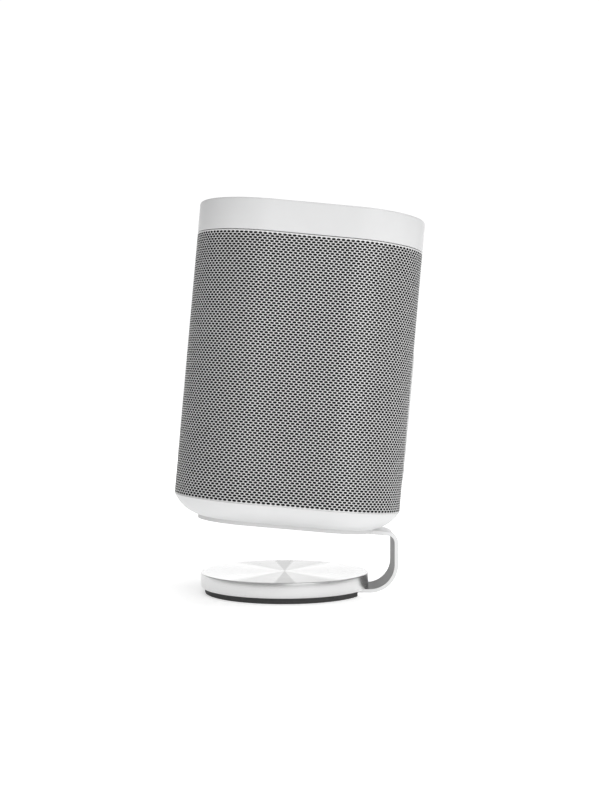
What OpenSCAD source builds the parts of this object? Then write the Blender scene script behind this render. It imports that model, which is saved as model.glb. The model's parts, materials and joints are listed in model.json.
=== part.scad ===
// Smart speaker on a desk stand.
// The row's frame: origin at the middle of the stand's underside, +Z up, the speaker's front at -Y.
// The speaker is drawn upright in a frame of its own, with its origin in the middle of the foot's
// underside, and on_stand() leans that frame back and lifts it onto the stand.

/* [Speaker body] */
// Width and depth of the speaker
body_w = 118.5; // [112:0.5:150]
// Corner radius of the speaker seen from above
corner_r = 38.1; // [30:0.1:46]
// Height of the top cap
cap_h = 16; // [14:0.5:24]
// Wall of the top cap
cap_wall = 2.5; // [2:0.1:4]
// Rounding of the cap's top edge
cap_edge_r = 1.2; // [0.4:0.1:2]
// Height from the base tray to the cap
grille_h = 136; // [130:1:180]
// Thickness of the grille's sheet metal
grille_t = 0.8; // [0.5:0.1:1.5]
// Shadow gap between the grille and the cap
shadow_gap = 0.4; // [0.2:0.1:1]
// Thickness of the acoustic cloth behind the grille
cloth_t = 0.5; // [0.3:0.1:1]
// Gap between the grille's inside and the cloth
cloth_gap = 0.05; // [0.02:0.01:0.2]
// Gap between the cloth and each lip that holds it against the grille
lip_gap = 0.15; // [0.05:0.05:0.3]
// Height of the lips on the cap and the tray that stand behind the cloth
lip_h = 3; // [2:0.5:5]
// Thickness of those lips
lip_t = 1.4; // [1:0.1:2]

/* [Base tray and foot] */
// Height of the base tray
base_h = 10.2; // [9:0.1:14]
// Radius of the base tray's curved side
base_r = 19.2; // [17:0.1:26]
// How far the foot stands in from the speaker's sides
foot_inset = 13.2; // [10:0.1:16]
// Thickness of the foot
foot_h = 2; // [1:0.1:4]
// Wall of the base tray
tray_wall = 2.2; // [1.6:0.1:3]

/* [Inner housing] */
// Wall of the inner housing
house_wall = 3; // [2:0.1:4]
// Gap between the speaker's outside and the housing's outside
house_inset = 4.25; // [4:0.05:6]
// Thickness of the flat baffle that carries the two drivers
baffle_t = 4; // [3:0.5:6]
// How far the baffle's front face stands behind the speaker's front
baffle_depth = 13.25; // [12:0.25:16]
// Where the sealed chamber's back plate stands, behind the speaker's middle
divider_y = 14; // [10:1:20]
// Thickness of the seal on the chamber's back plate
seal_t = 1; // [0.6:0.1:2]

/* [Woofer] */
// Height of the woofer's axis above the housing's underside
woofer_up = 43.5; // [42:0.5:50]
// Radius of the woofer frame's flange
woofer_r = 42; // [40:0.5:42]
// Radius of the woofer's cone
cone_r = 28.5; // [26:0.5:29]
// Depth of the woofer's cone
cone_depth = 11.7; // [9:0.1:14]
// Radius of the woofer's voice coil, at the outside of its former
coil_r = 12.85; // [10:0.05:13]
// Depth of the woofer's basket behind the baffle
basket_depth = 22; // [18:1:24]
// Thickness of the woofer's ring magnet
magnet_t = 12; // [8:1:14]

/* [Tweeter] */
// How far the tweeter's axis is below the housing's top
tweeter_down = 23.2; // [22.8:0.1:24.2]
// Radius of the tweeter's horn plate
horn_r = 22; // [21:0.5:22]
// Radius of the tweeter's dome
dome_r = 12.5; // [11:0.1:12.5]

/* [Controls on top] */
// Length of the volume rocker
rocker_l = 40; // [32:1:46]
// Width of the volume rocker
rocker_w = 12; // [10:0.5:14]
// Length of the play button
play_l = 18; // [14:0.5:24]
// Width of the play button
play_w = 11; // [9:0.5:13]
// Gap around each control in the cap
button_gap = 0.4; // [0.3:0.05:0.6]
// How far the controls stand above the cap
button_proud = 0.4; // [0:0.1:0.8]
// Travel of the play button
button_travel = 0.8; // [0.4:0.1:1]
// Radius of the rocker's pivot pins
pivot_r = 1.2; // [0.8:0.1:1.6]

/* [Rear panel] */
// Width of the rear panel
panel_w = 34; // [32:0.5:36]
// Height of the rear panel
panel_h = 64; // [60:1:80]
// Height of the rear panel's middle above the housing's underside
panel_up = 48; // [42:1:66]
// How far the panel's bezel overlaps the grille all round
bezel = 3; // [2.6:0.1:4]
// Thickness of the bezel
bezel_t = 0.8; // [0.6:0.1:1.5]
// Radius of the wall mount's threaded bore, for a 1/4 inch camera thread
mount_bore_r = 2.55; // [2:0.05:3.3]
// Length of the wall mount's threaded insert
mount_insert_l = 12; // [8:0.5:14]

/* [Stand] */
// How far the speaker leans back
lean = 5.085; // [0:0.005:8]
// Height of the foot's middle above the desk
foot_z = 38.4; // [34:0.1:60]
// How far the foot's middle sits behind the disc's middle
foot_y = 0.2; // [-4:0.1:4]
// Radius of the round metal base
disc_r = 45.35; // [40:0.05:60]
// Thickness of the round metal base
disc_h = 8; // [6:0.1:14]
// Bevel along the disc's lower edge
disc_bevel = 0.8; // [0.2:0.1:2]
// Bevel along the disc's upper edge
disc_top_bevel = 0.3; // [0.1:0.1:1]
// Thickness of the rubber pad
pad_h = 3.05; // [2.6:0.05:5]
// How far the pad stands in from the disc's edge
pad_inset = 2.25; // [1:0.05:5]
// Width of the slot in the pad
slot_w = 38; // [30:0.5:44]
// Width of the steel strap
strap_w = 26.4; // [20:0.1:36]
// Thickness of the steel strap
strap_t = 2; // [1.5:0.1:2.2]
// Gap between the disc's edge and the start of the strap's lower bend; below 0 it starts under the disc
strap_gap = 0.25; // [-6.35:0.05:19.65]
// Outer radius of the strap's lower bend
low_bend_r = 15; // [8:0.5:18]
// Outer radius of the strap's upper bend
top_bend_r = 6; // [4:0.5:8]

/* [Hidden] */
$fn = 72;

eps = 0.01;
over = 1;

// Heights in the speaker's frame
tray_z = foot_h;
grille_z = tray_z + base_h;
cap_z = grille_z + grille_h;
top_z = cap_z + cap_h;
house_clear = 1.8;
house_z = grille_z + house_clear;
house_top = cap_z - 2;
house_h = house_top - house_z;
woofer_z = house_z + woofer_up;
tweeter_z = house_top - tweeter_down;
panel_z = house_z + panel_up;

half_w = body_w / 2;
straight = body_w - 2 * corner_r;
cloth_inset = grille_t + cloth_gap;
lip_inset = cloth_inset + cloth_t + lip_gap;

// The tray's curved side is one arc, from the grille's lower edge to the foot
arc_chord = sqrt(foot_inset * foot_inset + base_h * base_h);
arc_rise = sqrt(base_r * base_r - arc_chord * arc_chord / 4);
arc_in = foot_inset / 2 + arc_rise * base_h / arc_chord;
arc_up = -base_h / 2 + arc_rise * foot_inset / arc_chord;

// Depths in the speaker's frame, front to back
baffle_y = -half_w + baffle_depth;
seal_y = divider_y - seal_t;
rear_y = divider_y + house_wall;
house_back_y = half_w - house_inset;

// Screw sizes
shank_gap = 0.05;
small_r = 1.25;
small_head_r = 2.6;
small_head_h = 1.6;
stand_r = 1.6;
stand_head_r = 3.6;
stand_head_h = 2.2;

// Stand screws: one row under the disc, one row under the speaker
disc_screw_y = [18, 34];
disc_screw_l = 6;
cradle_screw_y = [-10, 22];
insert_r = 2.8;
insert_l = 7;
tab_front_y = -18;
low_tab_y = 10;
tab_corner = 3;
strap_reach = disc_r + strap_gap + low_bend_r;

module on_stand() {
    translate([0, foot_y, foot_z]) rotate([-lean, 0, 0]) children();
}

// A rectangle with round corners; r stays under half the shorter side
module rounded_rect(w, d, r) {
    square([w - 2 * r, d], center = true);
    square([w, d - 2 * r], center = true);
    for (sx = [-1, 1], sy = [-1, 1])
        translate([sx * (w / 2 - r), sy * (d / 2 - r)]) circle(r);
}

// The body's outline seen from above, set in all round
module body_outline(inset) {
    rounded_rect(body_w - 2 * inset, body_w - 2 * inset, corner_r - inset);
}

module body_ring(inset, wall, z, h) {
    translate([0, 0, z]) linear_extrude(h) difference() {
        body_outline(inset);
        body_outline(inset + wall);
    }
}

// Carries a flat profile round the body's outline. x = 0 in the profile is the corner's axis.
module around_body(z, h) {
    for (a = [0 : 90 : 270]) rotate(a) {
        translate([straight / 2, straight / 2, 0]) rotate_extrude(angle = 90) children();
        translate([straight / 2, straight / 2, 0]) rotate([90, 0, 0]) linear_extrude(straight) children();
    }
    translate([0, 0, z + h / 2]) cube([straight, straight, h], center = true);
}

module ring(r_out, r_in, h) {
    difference() {
        cylinder(r = r_out, h = h);
        translate([0, 0, -over]) cylinder(r = r_in, h = h + 2 * over);
    }
}

// Part of a flat ring between two angles under 180 degrees apart
module ring_part(r_out, r_in, a0, a1) {
    far = 4 * r_out;
    intersection() {
        difference() {
            circle(r_out);
            circle(r_in);
        }
        polygon([[0, 0], [far * cos(a0), far * sin(a0)],
            [far * cos((a0 + a1) / 2), far * sin((a0 + a1) / 2)], [far * cos(a1), far * sin(a1)]]);
    }
}

// A round-headed screw. Its head's underside is at the origin and its shank points along +Z.
module pan_screw(r, l, head_r, head_h) {
    translate([0, 0, -head_h]) difference() {
        union() {
            cylinder(r = head_r, h = head_h);
            cylinder(r = r, h = head_h + l);
        }
        translate([0, 0, -over]) cylinder(r = r * 0.8, h = over + head_h / 2, $fn = 6);
    }
}

// Faces a part that is drawn along +Z towards the speaker's front, from the baffle's front face
module on_baffle(z) {
    translate([0, baffle_y, z]) rotate([90, 0, 0]) children();
}

// Faces a part that is drawn along +Z towards the speaker's back, from the depth y
module facing_back(x, y, z) {
    translate([x, y, z]) rotate([-90, 0, 0]) children();
}

// ---------- Stand ----------

module desk_pad() {
    pad_r = disc_r - pad_inset;
    color("dimgray") difference() {
        cylinder(r = pad_r, h = pad_h);
        translate([-slot_w / 2, low_tab_y - 1, -over]) cube([slot_w, pad_r, pad_h + 2 * over]);
    }
}

module stand_disc() {
    color("gainsboro") translate([0, 0, pad_h]) difference() {
        rotate_extrude() polygon([
            [0, 0], [disc_r - disc_bevel, 0], [disc_r, disc_bevel],
            [disc_r, disc_h - disc_top_bevel], [disc_r - disc_top_bevel, disc_h], [0, disc_h]]);
        for (y = disc_screw_y) translate([0, y, -over])
            cylinder(r = stand_r + shank_gap, h = over + disc_screw_l);
    }
}

// A place in the speaker's own frame, given by its depth and height, in the strap's side view
function side_view(y, z) =
    [foot_y + y * cos(lean) + z * sin(lean), foot_z - y * sin(lean) + z * cos(lean)];

// Everything within the strap's outer side, set in by inset. mouth carries it past the strap's ends.
module strap_fill(inset, mouth) {
    low_z = pad_h - strap_t;
    low_bend = [strap_reach - low_bend_r, low_z + low_bend_r];
    bend_y = strap_reach - top_bend_r;
    bend_local_y = ((bend_y - foot_y) + top_bend_r * sin(lean)) / cos(lean);
    top_bend = side_view(bend_local_y, -top_bend_r);
    polygon([
        [low_tab_y - mouth, low_z + strap_t + over], [low_tab_y - mouth, low_z + inset],
        [low_bend[0], low_z + inset], [strap_reach - inset, low_bend[1]],
        [strap_reach - inset, top_bend[1]], side_view(bend_local_y, -inset),
        side_view(tab_front_y - mouth, -inset), side_view(tab_front_y - mouth, -strap_t - over)]);
    translate(low_bend) circle(low_bend_r - inset);
    translate(top_bend) circle(top_bend_r - inset);
}

// The strap's side view: x is the row's Y and y is the row's Z
module strap_outline() {
    difference() {
        strap_fill(0, 0);
        strap_fill(strap_t, over);
    }
}

module stand_arm() {
    edge_x = strap_w / 2 + over;
    color("white") difference() {
        rotate([90, 0, 90]) translate([0, 0, -strap_w / 2]) linear_extrude(strap_w) strap_outline();
        for (s = [-1, 1]) on_stand() translate([0, tab_front_y, -strap_t - over])
            linear_extrude(strap_t + 2 * over) polygon([
                [s * edge_x, -over], [s * edge_x, tab_corner + over],
                [s * (edge_x - tab_corner - 2 * over), -over]]);
        for (y = cradle_screw_y) on_stand() translate([0, y, -strap_t - over])
            cylinder(r = stand_r + 0.4, h = strap_t + 2 * over);
        for (y = disc_screw_y) translate([0, y, pad_h - strap_t]) {
            translate([0, 0, -over]) cylinder(r = stand_r + 0.2, h = strap_t + 2 * over);
            translate([0, 0, -eps]) cylinder(r1 = 3.4, r2 = 1.7, h = 1.7);
        }
    }
}

module disc_screws() {
    color("silver") for (y = disc_screw_y) translate([0, y, pad_h - strap_t]) difference() {
        union() {
            cylinder(r1 = 3.2, r2 = stand_r, h = 1.6);
            cylinder(r = stand_r, h = strap_t + disc_screw_l - 0.6);
        }
        translate([0, 0, -over]) cylinder(r = 1.2, h = over + 1, $fn = 6);
    }
}

module cradle_screws() {
    color("silver") on_stand() for (y = cradle_screw_y) translate([0, y, -strap_t])
        pan_screw(stand_r, strap_t + foot_h + insert_l - 1, stand_head_r, stand_head_h);
}

// ---------- Foot and base tray ----------

tray_boss_x = 30;
tray_boss_y = 30;
tray_boss_r = 4.2;
tray_floor = 2.6;

module foot_pad() {
    color("whitesmoke") on_stand() difference() {
        linear_extrude(foot_h) body_outline(foot_inset);
        for (y = cradle_screw_y) translate([0, y, -over]) cylinder(r = stand_r + 0.4, h = foot_h + 2 * over);
    }
}

// Half of the tray's section. inset is the wall left outside it, and z0 is where it starts.
module tray_profile(inset, z0, z1) {
    centre_x = corner_r - arc_in;
    translate([0, z0]) square([centre_x, z1 - z0]);
    intersection() {
        translate([0, z0]) square([corner_r, z1 - z0]);
        translate([centre_x, base_h + arc_up]) circle(base_r - inset);
    }
}

module base_tray() {
    boss_h = house_z - tray_z;
    color("white") on_stand() translate([0, 0, tray_z]) difference() {
        union() {
            difference() {
                around_body(0, base_h) tray_profile(0, 0, base_h);
                around_body(tray_floor, base_h) tray_profile(tray_wall, tray_floor, base_h + tray_floor);
            }
            body_ring(lip_inset, lip_t, base_h - 2, lip_h + 2);
            for (sx = [-1, 1], sy = [-1, 1]) translate([sx * tray_boss_x, sy * tray_boss_y, eps])
                cylinder(r = tray_boss_r, h = boss_h - eps);
            for (y = cradle_screw_y) translate([0, y, eps]) cylinder(r = insert_r + 2, h = insert_l + 1.4);
        }
        for (sx = [-1, 1], sy = [-1, 1]) translate([sx * tray_boss_x, sy * tray_boss_y, -over]) {
            cylinder(r = small_r + 0.25, h = boss_h + 2 * over);
            cylinder(r = small_head_r + 0.3, h = over + 3);
        }
        for (y = cradle_screw_y) translate([0, y, -over]) cylinder(r = insert_r, h = over + insert_l);
    }
}

module tray_inserts() {
    color("goldenrod") on_stand() for (y = cradle_screw_y) translate([0, y, tray_z])
        ring(insert_r, stand_r + shank_gap, insert_l);
}

module tray_screws() {
    color("silver") on_stand() for (sx = [-1, 1], sy = [-1, 1])
        translate([sx * tray_boss_x, sy * tray_boss_y, tray_z + 3])
            pan_screw(small_r, house_z - tray_z - 3 + house_wall + 4, small_head_r, small_head_h);
}

// ---------- Grille ----------

module rear_window(grow, y0, y1) {
    facing_back(0, y0, panel_z) linear_extrude(y1 - y0)
        rounded_rect(panel_w + 2 * grow, panel_h + 2 * grow, 5);
}

module grille_sleeve() {
    color("silver") on_stand() difference() {
        body_ring(0, grille_t, grille_z, grille_h - shadow_gap);
        rear_window(0, half_w / 2, half_w + over);
    }
}

module acoustic_cloth() {
    color("black") on_stand() difference() {
        body_ring(cloth_inset, cloth_t, grille_z + 0.5, grille_h - 1);
        rear_window(0.5, half_w / 2, half_w + over);
    }
}

// ---------- Inner housing ----------

bolt_x = half_w - house_inset - 8;
bolt_low_z = house_z + 9;
bolt_high_z = house_top - 9;
cap_boss_x = 38;
cap_boss_y = 30;
woofer_hole_r = woofer_r - 5.5;
tweeter_hole_r = horn_r - 5;
woofer_screw_r = woofer_r - 3;
tweeter_screw_r = horn_r - 2.4;
lead_z = [tweeter_z - 19, tweeter_z - 5];
grommet_r = 5;

module bolt_places() {
    for (sx = [-1, 1], z = [bolt_low_z, bolt_high_z]) facing_back(sx * bolt_x, 0, z) children();
}

// The housing's outline seen from above, kept between two depths
module house_outline(inset, y0, y1) {
    intersection() {
        body_outline(house_inset + inset);
        translate([-body_w, y0]) square([2 * body_w, y1 - y0]);
    }
}

module front_housing() {
    color("dimgray") on_stand() difference() {
        union() {
            difference() {
                translate([0, 0, house_z]) linear_extrude(house_h) house_outline(0, baffle_y, seal_y);
                translate([0, 0, house_z + house_wall]) linear_extrude(house_h - 2 * house_wall)
                    house_outline(house_wall, baffle_y + baffle_t, seal_y + over);
            }
            bolt_places() translate([0, 0, -8]) cylinder(r = 4, h = seal_y + 8);
            for (sx = [-1, 1]) translate([sx * bolt_x, seal_y, 0]) for (z = [bolt_low_z, bolt_high_z])
                translate([0, 0, z]) rotate([90, 0, 0]) translate([sx > 0 ? 0 : -6, -1.5, 0])
                    cube([6, 3, seal_y + 8]);
            for (sx = [-1, 1]) translate([sx * tray_boss_x, -tray_boss_y, house_z + eps])
                cylinder(r = 4, h = 10);
        }
        on_baffle(woofer_z) translate([0, 0, -baffle_t - over])
            cylinder(r = woofer_hole_r, h = baffle_t + 2 * over);
        on_baffle(tweeter_z) translate([0, 0, -baffle_t - over])
            cylinder(r = tweeter_hole_r, h = baffle_t + 2 * over);
        bolt_places() translate([0, 0, -4]) cylinder(r = small_r, h = seal_y + 5);
        for (sx = [-1, 1]) translate([sx * tray_boss_x, -tray_boss_y, house_z - over])
            cylinder(r = small_r, h = 9);
        for (sx = [-1, 1]) translate([sx * cap_boss_x, -cap_boss_y, house_top - house_wall - over])
            cylinder(r = small_r + 0.25, h = house_wall + 2 * over);
        on_baffle(woofer_z) screw_circle(woofer_screw_r, 4, 45) translate([0, 0, -baffle_t - over])
            cylinder(r = 1, h = baffle_t + 2 * over);
        on_baffle(tweeter_z) screw_circle(tweeter_screw_r, 4, 45) translate([0, 0, -baffle_t - over])
            cylinder(r = 0.8, h = baffle_t + 2 * over);
    }
}

module screw_circle(r, count, first) {
    for (i = [0 : count - 1]) rotate(first + i * 360 / count) translate([r, 0, 0]) children();
}

module chamber_plate(y, t, hollow) {
    w = body_w - 2 * house_inset;
    color("gray") on_stand() translate([0, y + t / 2, house_z + house_h / 2]) difference() {
        cube([w, t, house_h], center = true);
        if (hollow) cube([w - 2 * house_wall, t + 2 * over, house_h - 2 * house_wall], center = true);
    }
}

module chamber_seal() {
    color("black") chamber_plate(seal_y, seal_t, true);
}

module chamber_back() {
    color("gray") difference() {
        chamber_plate(divider_y, house_wall, false);
        on_stand() {
            bolt_places() translate([0, 0, divider_y - over])
                cylinder(r = small_r + 0.25, h = house_wall + 2 * over);
            for (z = lead_z) facing_back(0, divider_y - over, z)
                cylinder(r = grommet_r - 1.5, h = house_wall + 2 * over);
        }
    }
}

board_y = 36;
board_t = 1.6;
board_half_w = 36;
board_screw_x = 32;
power_board_z = [house_z + 6, house_z + 52];
main_board_z = [house_top - 74.2, house_top - 8.2];
board_screw_z = [power_board_z[0] + 4, power_board_z[1] - 4, main_board_z[0] + 4, main_board_z[1] - 4];
bolt_seat_y = rear_y + 5;

module board_boss_places() {
    for (sx = [-1, 1], z = board_screw_z) facing_back(sx * board_screw_x, board_y + board_t, z) children();
}

module rear_housing() {
    color("dimgray") on_stand() difference() {
        union() {
            difference() {
                translate([0, 0, house_z]) linear_extrude(house_h) house_outline(0, rear_y, half_w);
                translate([0, 0, house_z + house_wall]) linear_extrude(house_h - 2 * house_wall)
                    house_outline(house_wall, rear_y - over, half_w);
            }
            intersection() {
                union() {
                    bolt_places() translate([0, 0, rear_y]) cylinder(r = 4.2, h = half_w);
                    board_boss_places() cylinder(r = 3, h = half_w);
                    for (sx = [-1, 1]) translate([sx * tray_boss_x, tray_boss_y, house_z])
                        cylinder(r = 4, h = 10);
                }
                translate([0, 0, house_z]) linear_extrude(house_h) house_outline(eps, rear_y, half_w);
            }
        }
        bolt_places() {
            translate([0, 0, rear_y - over]) cylinder(r = small_r + 0.25, h = half_w);
            translate([0, 0, bolt_seat_y]) cylinder(r = small_head_r + 0.3, h = half_w);
        }
        board_boss_places() translate([0, 0, -over]) cylinder(r = small_r - 0.2, h = over + 8);
        for (sx = [-1, 1]) translate([sx * tray_boss_x, tray_boss_y, house_z - over])
            cylinder(r = small_r, h = 9);
        for (sx = [-1, 1]) translate([sx * cap_boss_x, cap_boss_y, house_top - house_wall - over])
            cylinder(r = small_r + 0.25, h = house_wall + 2 * over);
        facing_back(0, house_back_y - 2 * house_wall, panel_z) linear_extrude(3 * house_wall)
            rounded_rect(panel_w - 6, panel_h - 6, 3);
        for (sx = [-1, 1], sz = [-1, 1])
            facing_back(sx * panel_screw_x, house_back_y - house_wall - over, panel_z + sz * panel_screw_dz)
                cylinder(r = 0.8, h = house_wall + 2 * over);
    }
}

module housing_bolts() {
    color("silver") on_stand() bolt_places() translate([0, 0, bolt_seat_y]) rotate([180, 0, 0])
        pan_screw(small_r - shank_gap, bolt_seat_y + 2, small_head_r, small_head_h);
}

// ---------- Rear panel and sockets ----------

panel_gap = 0.25;
panel_face_y = half_w + bezel_t;
panel_seat_t = 1.6;
panel_screw_x = panel_w / 2 - 2.6;
panel_screw_dz = panel_h / 2 - 2.6;
mount_z = panel_z + 18;
socket_z = panel_z - 2;
inlet_z = panel_z - 21;
socket_w = 16;
socket_h = 13.5;
socket_depth = 18;
inlet_w = 20;
inlet_h = 11;
inlet_depth = 16;
pin_gap = 8.6;
insert_out_r = 5;

module rear_panel() {
    color("white") on_stand() difference() {
        union() {
            rear_window(-panel_gap, house_back_y, half_w);
            facing_back(0, half_w, panel_z) linear_extrude(bezel_t)
                rounded_rect(panel_w + 2 * bezel, panel_h + 2 * bezel, 6);
            facing_back(0, panel_face_y - mount_insert_l, mount_z)
                cylinder(r = insert_out_r + 2.5, h = mount_insert_l - bezel_t / 2);
        }
        facing_back(0, panel_face_y - mount_insert_l - over, mount_z)
            cylinder(r = insert_out_r, h = mount_insert_l + 2 * over);
        facing_back(0, half_w - 10, socket_z) linear_extrude(12) square([socket_w, socket_h], center = true);
        facing_back(0, half_w - 10, inlet_z) linear_extrude(12) rounded_rect(inlet_w, inlet_h, 5.4);
        for (sx = [-1, 1], sz = [-1, 1])
            facing_back(sx * panel_screw_x, house_back_y - over, panel_z + sz * panel_screw_dz) {
                cylinder(r = 1.1, h = 10);
                translate([0, 0, over + panel_seat_t]) cylinder(r = 1.9, h = 10);
            }
    }
}

module panel_screws() {
    color("silver") on_stand() for (sx = [-1, 1], sz = [-1, 1])
        facing_back(sx * panel_screw_x, house_back_y + panel_seat_t, panel_z + sz * panel_screw_dz)
            rotate([180, 0, 0]) pan_screw(0.75, panel_seat_t + house_wall - 0.5, 1.7, 1.2);
}

module mount_insert() {
    color("goldenrod") on_stand() facing_back(0, panel_face_y - mount_insert_l, mount_z)
        ring(insert_out_r, mount_bore_r, mount_insert_l);
}

module network_socket() {
    color("silver") on_stand() facing_back(0, panel_face_y - socket_depth, socket_z) difference() {
        linear_extrude(socket_depth) square([socket_w, socket_h], center = true);
        translate([0, 0, 3]) linear_extrude(socket_depth) {
            square([11.9, 8], center = true);
            translate([0, 5]) square([6, 4], center = true);
        }
    }
}

module power_inlet() {
    color("black") on_stand() facing_back(0, panel_face_y - inlet_depth, inlet_z) difference() {
        linear_extrude(inlet_depth) rounded_rect(inlet_w, inlet_h, 5.4);
        translate([0, 0, 3]) linear_extrude(inlet_depth) rounded_rect(inlet_w - 3.4, inlet_h - 3.4, 3.7);
        for (s = [-1, 1]) translate([s * pin_gap / 2, 0, -over]) cylinder(r = 1.15, h = 5);
    }
}

module inlet_pins() {
    color("silver") on_stand() for (s = [-1, 1])
        facing_back(s * pin_gap / 2, board_y + board_t, inlet_z)
            cylinder(r = 1.15, h = panel_face_y - board_y - board_t - 3);
}

// ---------- Woofer ----------

flange_z0 = 0.8;
flange_z1 = 3.3;
basket_wall = 1.5;
basket_r = 27;
plate_t = 4;
winding_t = 0.45;
former_t = 0.25;
winding_gap = 0.45;
pole_gap = 0.6;
magnet_r = 28;
plate_r = 25;
basket_z = -basket_depth;
magnet_z = basket_z - plate_t - magnet_t;
roll_gap = 0.3;
roll_out_r = 3;
roll_t = 0.6;
neck_z = flange_z1 - cone_depth - 0.6;

module woofer_seal() {
    color("black") on_stand() on_baffle(woofer_z) difference() {
        ring(woofer_r - 0.5, woofer_hole_r + 0.5, flange_z0);
        screw_circle(woofer_screw_r, 4, 45) translate([0, 0, -over]) cylinder(r = 1.2, h = 3);
    }
}

module woofer_frame() {
    throat_r = coil_r + winding_t + winding_gap;
    color("darkslategray") on_stand() on_baffle(woofer_z) difference() {
        rotate_extrude() polygon([
            [woofer_hole_r - 3, flange_z1], [woofer_r, flange_z1], [woofer_r, flange_z0],
            [woofer_hole_r - 1, flange_z0], [basket_r, basket_z + 2], [basket_r, basket_z],
            [throat_r, basket_z], [throat_r, basket_z + 2], [basket_r - basket_wall - 0.5, basket_z + 2],
            [woofer_hole_r - 3, flange_z0]]);
        for (a = [0, 90]) rotate(a) translate([-50, -8, basket_z + 4]) cube([100, 16, 5.5]);
        screw_circle(woofer_screw_r, 4, 45) translate([0, 0, -over]) cylinder(r = 1.3, h = 6);
    }
}

module woofer_top_plate() {
    color("gray") on_stand() on_baffle(woofer_z) translate([0, 0, basket_z - plate_t])
        ring(plate_r, coil_r + winding_t + winding_gap, plate_t);
}

module woofer_magnet() {
    color("black") on_stand() on_baffle(woofer_z) translate([0, 0, magnet_z])
        ring(magnet_r, coil_r + 4, magnet_t);
}

module woofer_yoke() {
    pole_r = coil_r - former_t - pole_gap;
    color("gray") on_stand() on_baffle(woofer_z) translate([0, 0, magnet_z - plate_t]) difference() {
        union() {
            cylinder(r = plate_r, h = plate_t);
            cylinder(r = pole_r, h = 2 * plate_t + magnet_t);
        }
        translate([0, 0, -over]) cylinder(r = 3, h = 4 * plate_t + magnet_t);
    }
}

// A corrugated ring. The wave is a cosine along the radius.
spider_waves = 3;
spider_steps = 24;
function spider_point(i, lift, r0, r1) = [
    r0 + (r1 - r0) * i / spider_steps,
    lift + 0.8 * cos(360 * spider_waves * i / spider_steps)];

module woofer_spider() {
    spider_z = basket_z + 10.5;
    share = (spider_z - 1.4 - basket_z - 2) / (flange_z0 - basket_z - 2);
    r0 = coil_r + roll_gap;
    r1 = basket_r - basket_wall - 0.5 + share * (woofer_hole_r - 3 - basket_r + basket_wall + 0.5);
    color("khaki") on_stand() on_baffle(woofer_z) rotate_extrude() polygon(concat(
        [for (i = [0 : spider_steps]) spider_point(i, spider_z, r0, r1)],
        [for (i = [spider_steps : -1 : 0]) spider_point(i, spider_z - 0.5, r0, r1)]));
}

module woofer_surround() {
    roll_r = (cone_r + roll_gap + woofer_hole_r - 3) / 2;
    roll_half = roll_r - cone_r - roll_gap;
    color("black") on_stand() on_baffle(woofer_z) rotate_extrude() {
        translate([roll_r, flange_z1]) ring_part(roll_half, roll_half - roll_t, 0, 89.99);
        translate([roll_r, flange_z1]) ring_part(roll_half, roll_half - roll_t, 89.98, 180);
        translate([roll_r + roll_half - roll_t, flange_z1]) square([roll_out_r + roll_t, roll_t]);
    }
}

module woofer_cone() {
    color("dimgray") on_stand() on_baffle(woofer_z) rotate_extrude() polygon([
        [coil_r, neck_z], [cone_r, flange_z1 - 0.6], [cone_r, flange_z1], [coil_r, neck_z + 0.9]]);
}

module woofer_dust_cap() {
    cap_r = coil_r + 1.1;
    sphere_r = cap_r + 4;
    glue = 0.06;
    base_z = neck_z + 0.9 + glue + (cap_r - coil_r) * (cone_depth - 0.3) / (cone_r - coil_r);
    color("dimgray") on_stand() on_baffle(woofer_z)
        translate([0, 0, base_z - sqrt(sphere_r * sphere_r - cap_r * cap_r)]) rotate_extrude()
            ring_part(sphere_r, sphere_r - 0.5, acos(cap_r / sphere_r), 90);
}

module coil_former() {
    color("peru") on_stand() on_baffle(woofer_z) translate([0, 0, basket_z - 8])
        ring(coil_r, coil_r - former_t, neck_z + 0.9 - basket_z + 8);
}

module coil_winding() {
    color("chocolate") on_stand() on_baffle(woofer_z) translate([0, 0, basket_z - plate_t / 2 - 3])
        ring(coil_r + winding_t, coil_r, 6);
}

module woofer_screws() {
    color("silver") on_stand() on_baffle(woofer_z) screw_circle(woofer_screw_r, 4, 45)
        translate([0, 0, flange_z1]) rotate([180, 0, 0]) pan_screw(0.95, 6.5, 2.2, 1.4);
}

// ---------- Tweeter ----------

horn_t = 3.2;
cup_depth = 12;
cup_in_r = dome_r + 0.9;
dome_skin = 0.4;

module tweeter_horn() {
    color("dimgray") on_stand() on_baffle(tweeter_z) difference() {
        cylinder(r = horn_r, h = horn_t);
        translate([0, 0, -eps]) cylinder(r1 = cup_in_r, r2 = horn_r - 5, h = horn_t + 2 * eps);
        screw_circle(tweeter_screw_r, 4, 45) translate([0, 0, -over]) cylinder(r = 1, h = 6);
    }
}

module tweeter_cup() {
    color("gray") on_stand() on_baffle(tweeter_z) translate([0, 0, -cup_depth]) difference() {
        cylinder(r = tweeter_hole_r - 0.5, h = cup_depth);
        translate([0, 0, 3]) cylinder(r = cup_in_r, h = cup_depth);
    }
}

module tweeter_magnet() {
    color("black") on_stand() on_baffle(tweeter_z) translate([0, 0, 3 - cup_depth]) {
        cylinder(r = dome_r - 1.5, h = 5);
        translate([0, 0, 5 - eps]) cylinder(r = dome_r - 0.7, h = 3);
    }
}

module tweeter_dome() {
    sphere_r = dome_r + 7.5;
    base_z = 0.4;
    color("darkkhaki") on_stand() on_baffle(tweeter_z) rotate_extrude() {
        translate([0, base_z - sqrt(sphere_r * sphere_r - dome_r * dome_r)])
            ring_part(sphere_r, sphere_r - dome_skin, acos(dome_r / sphere_r), 90);
        translate([dome_r - 0.2, -4]) square([0.2, 4 + base_z - 0.15]);
    }
}

module tweeter_winding() {
    color("chocolate") on_stand() on_baffle(tweeter_z) translate([0, 0, -4])
        ring(dome_r + 0.4, dome_r, 2);
}

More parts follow.
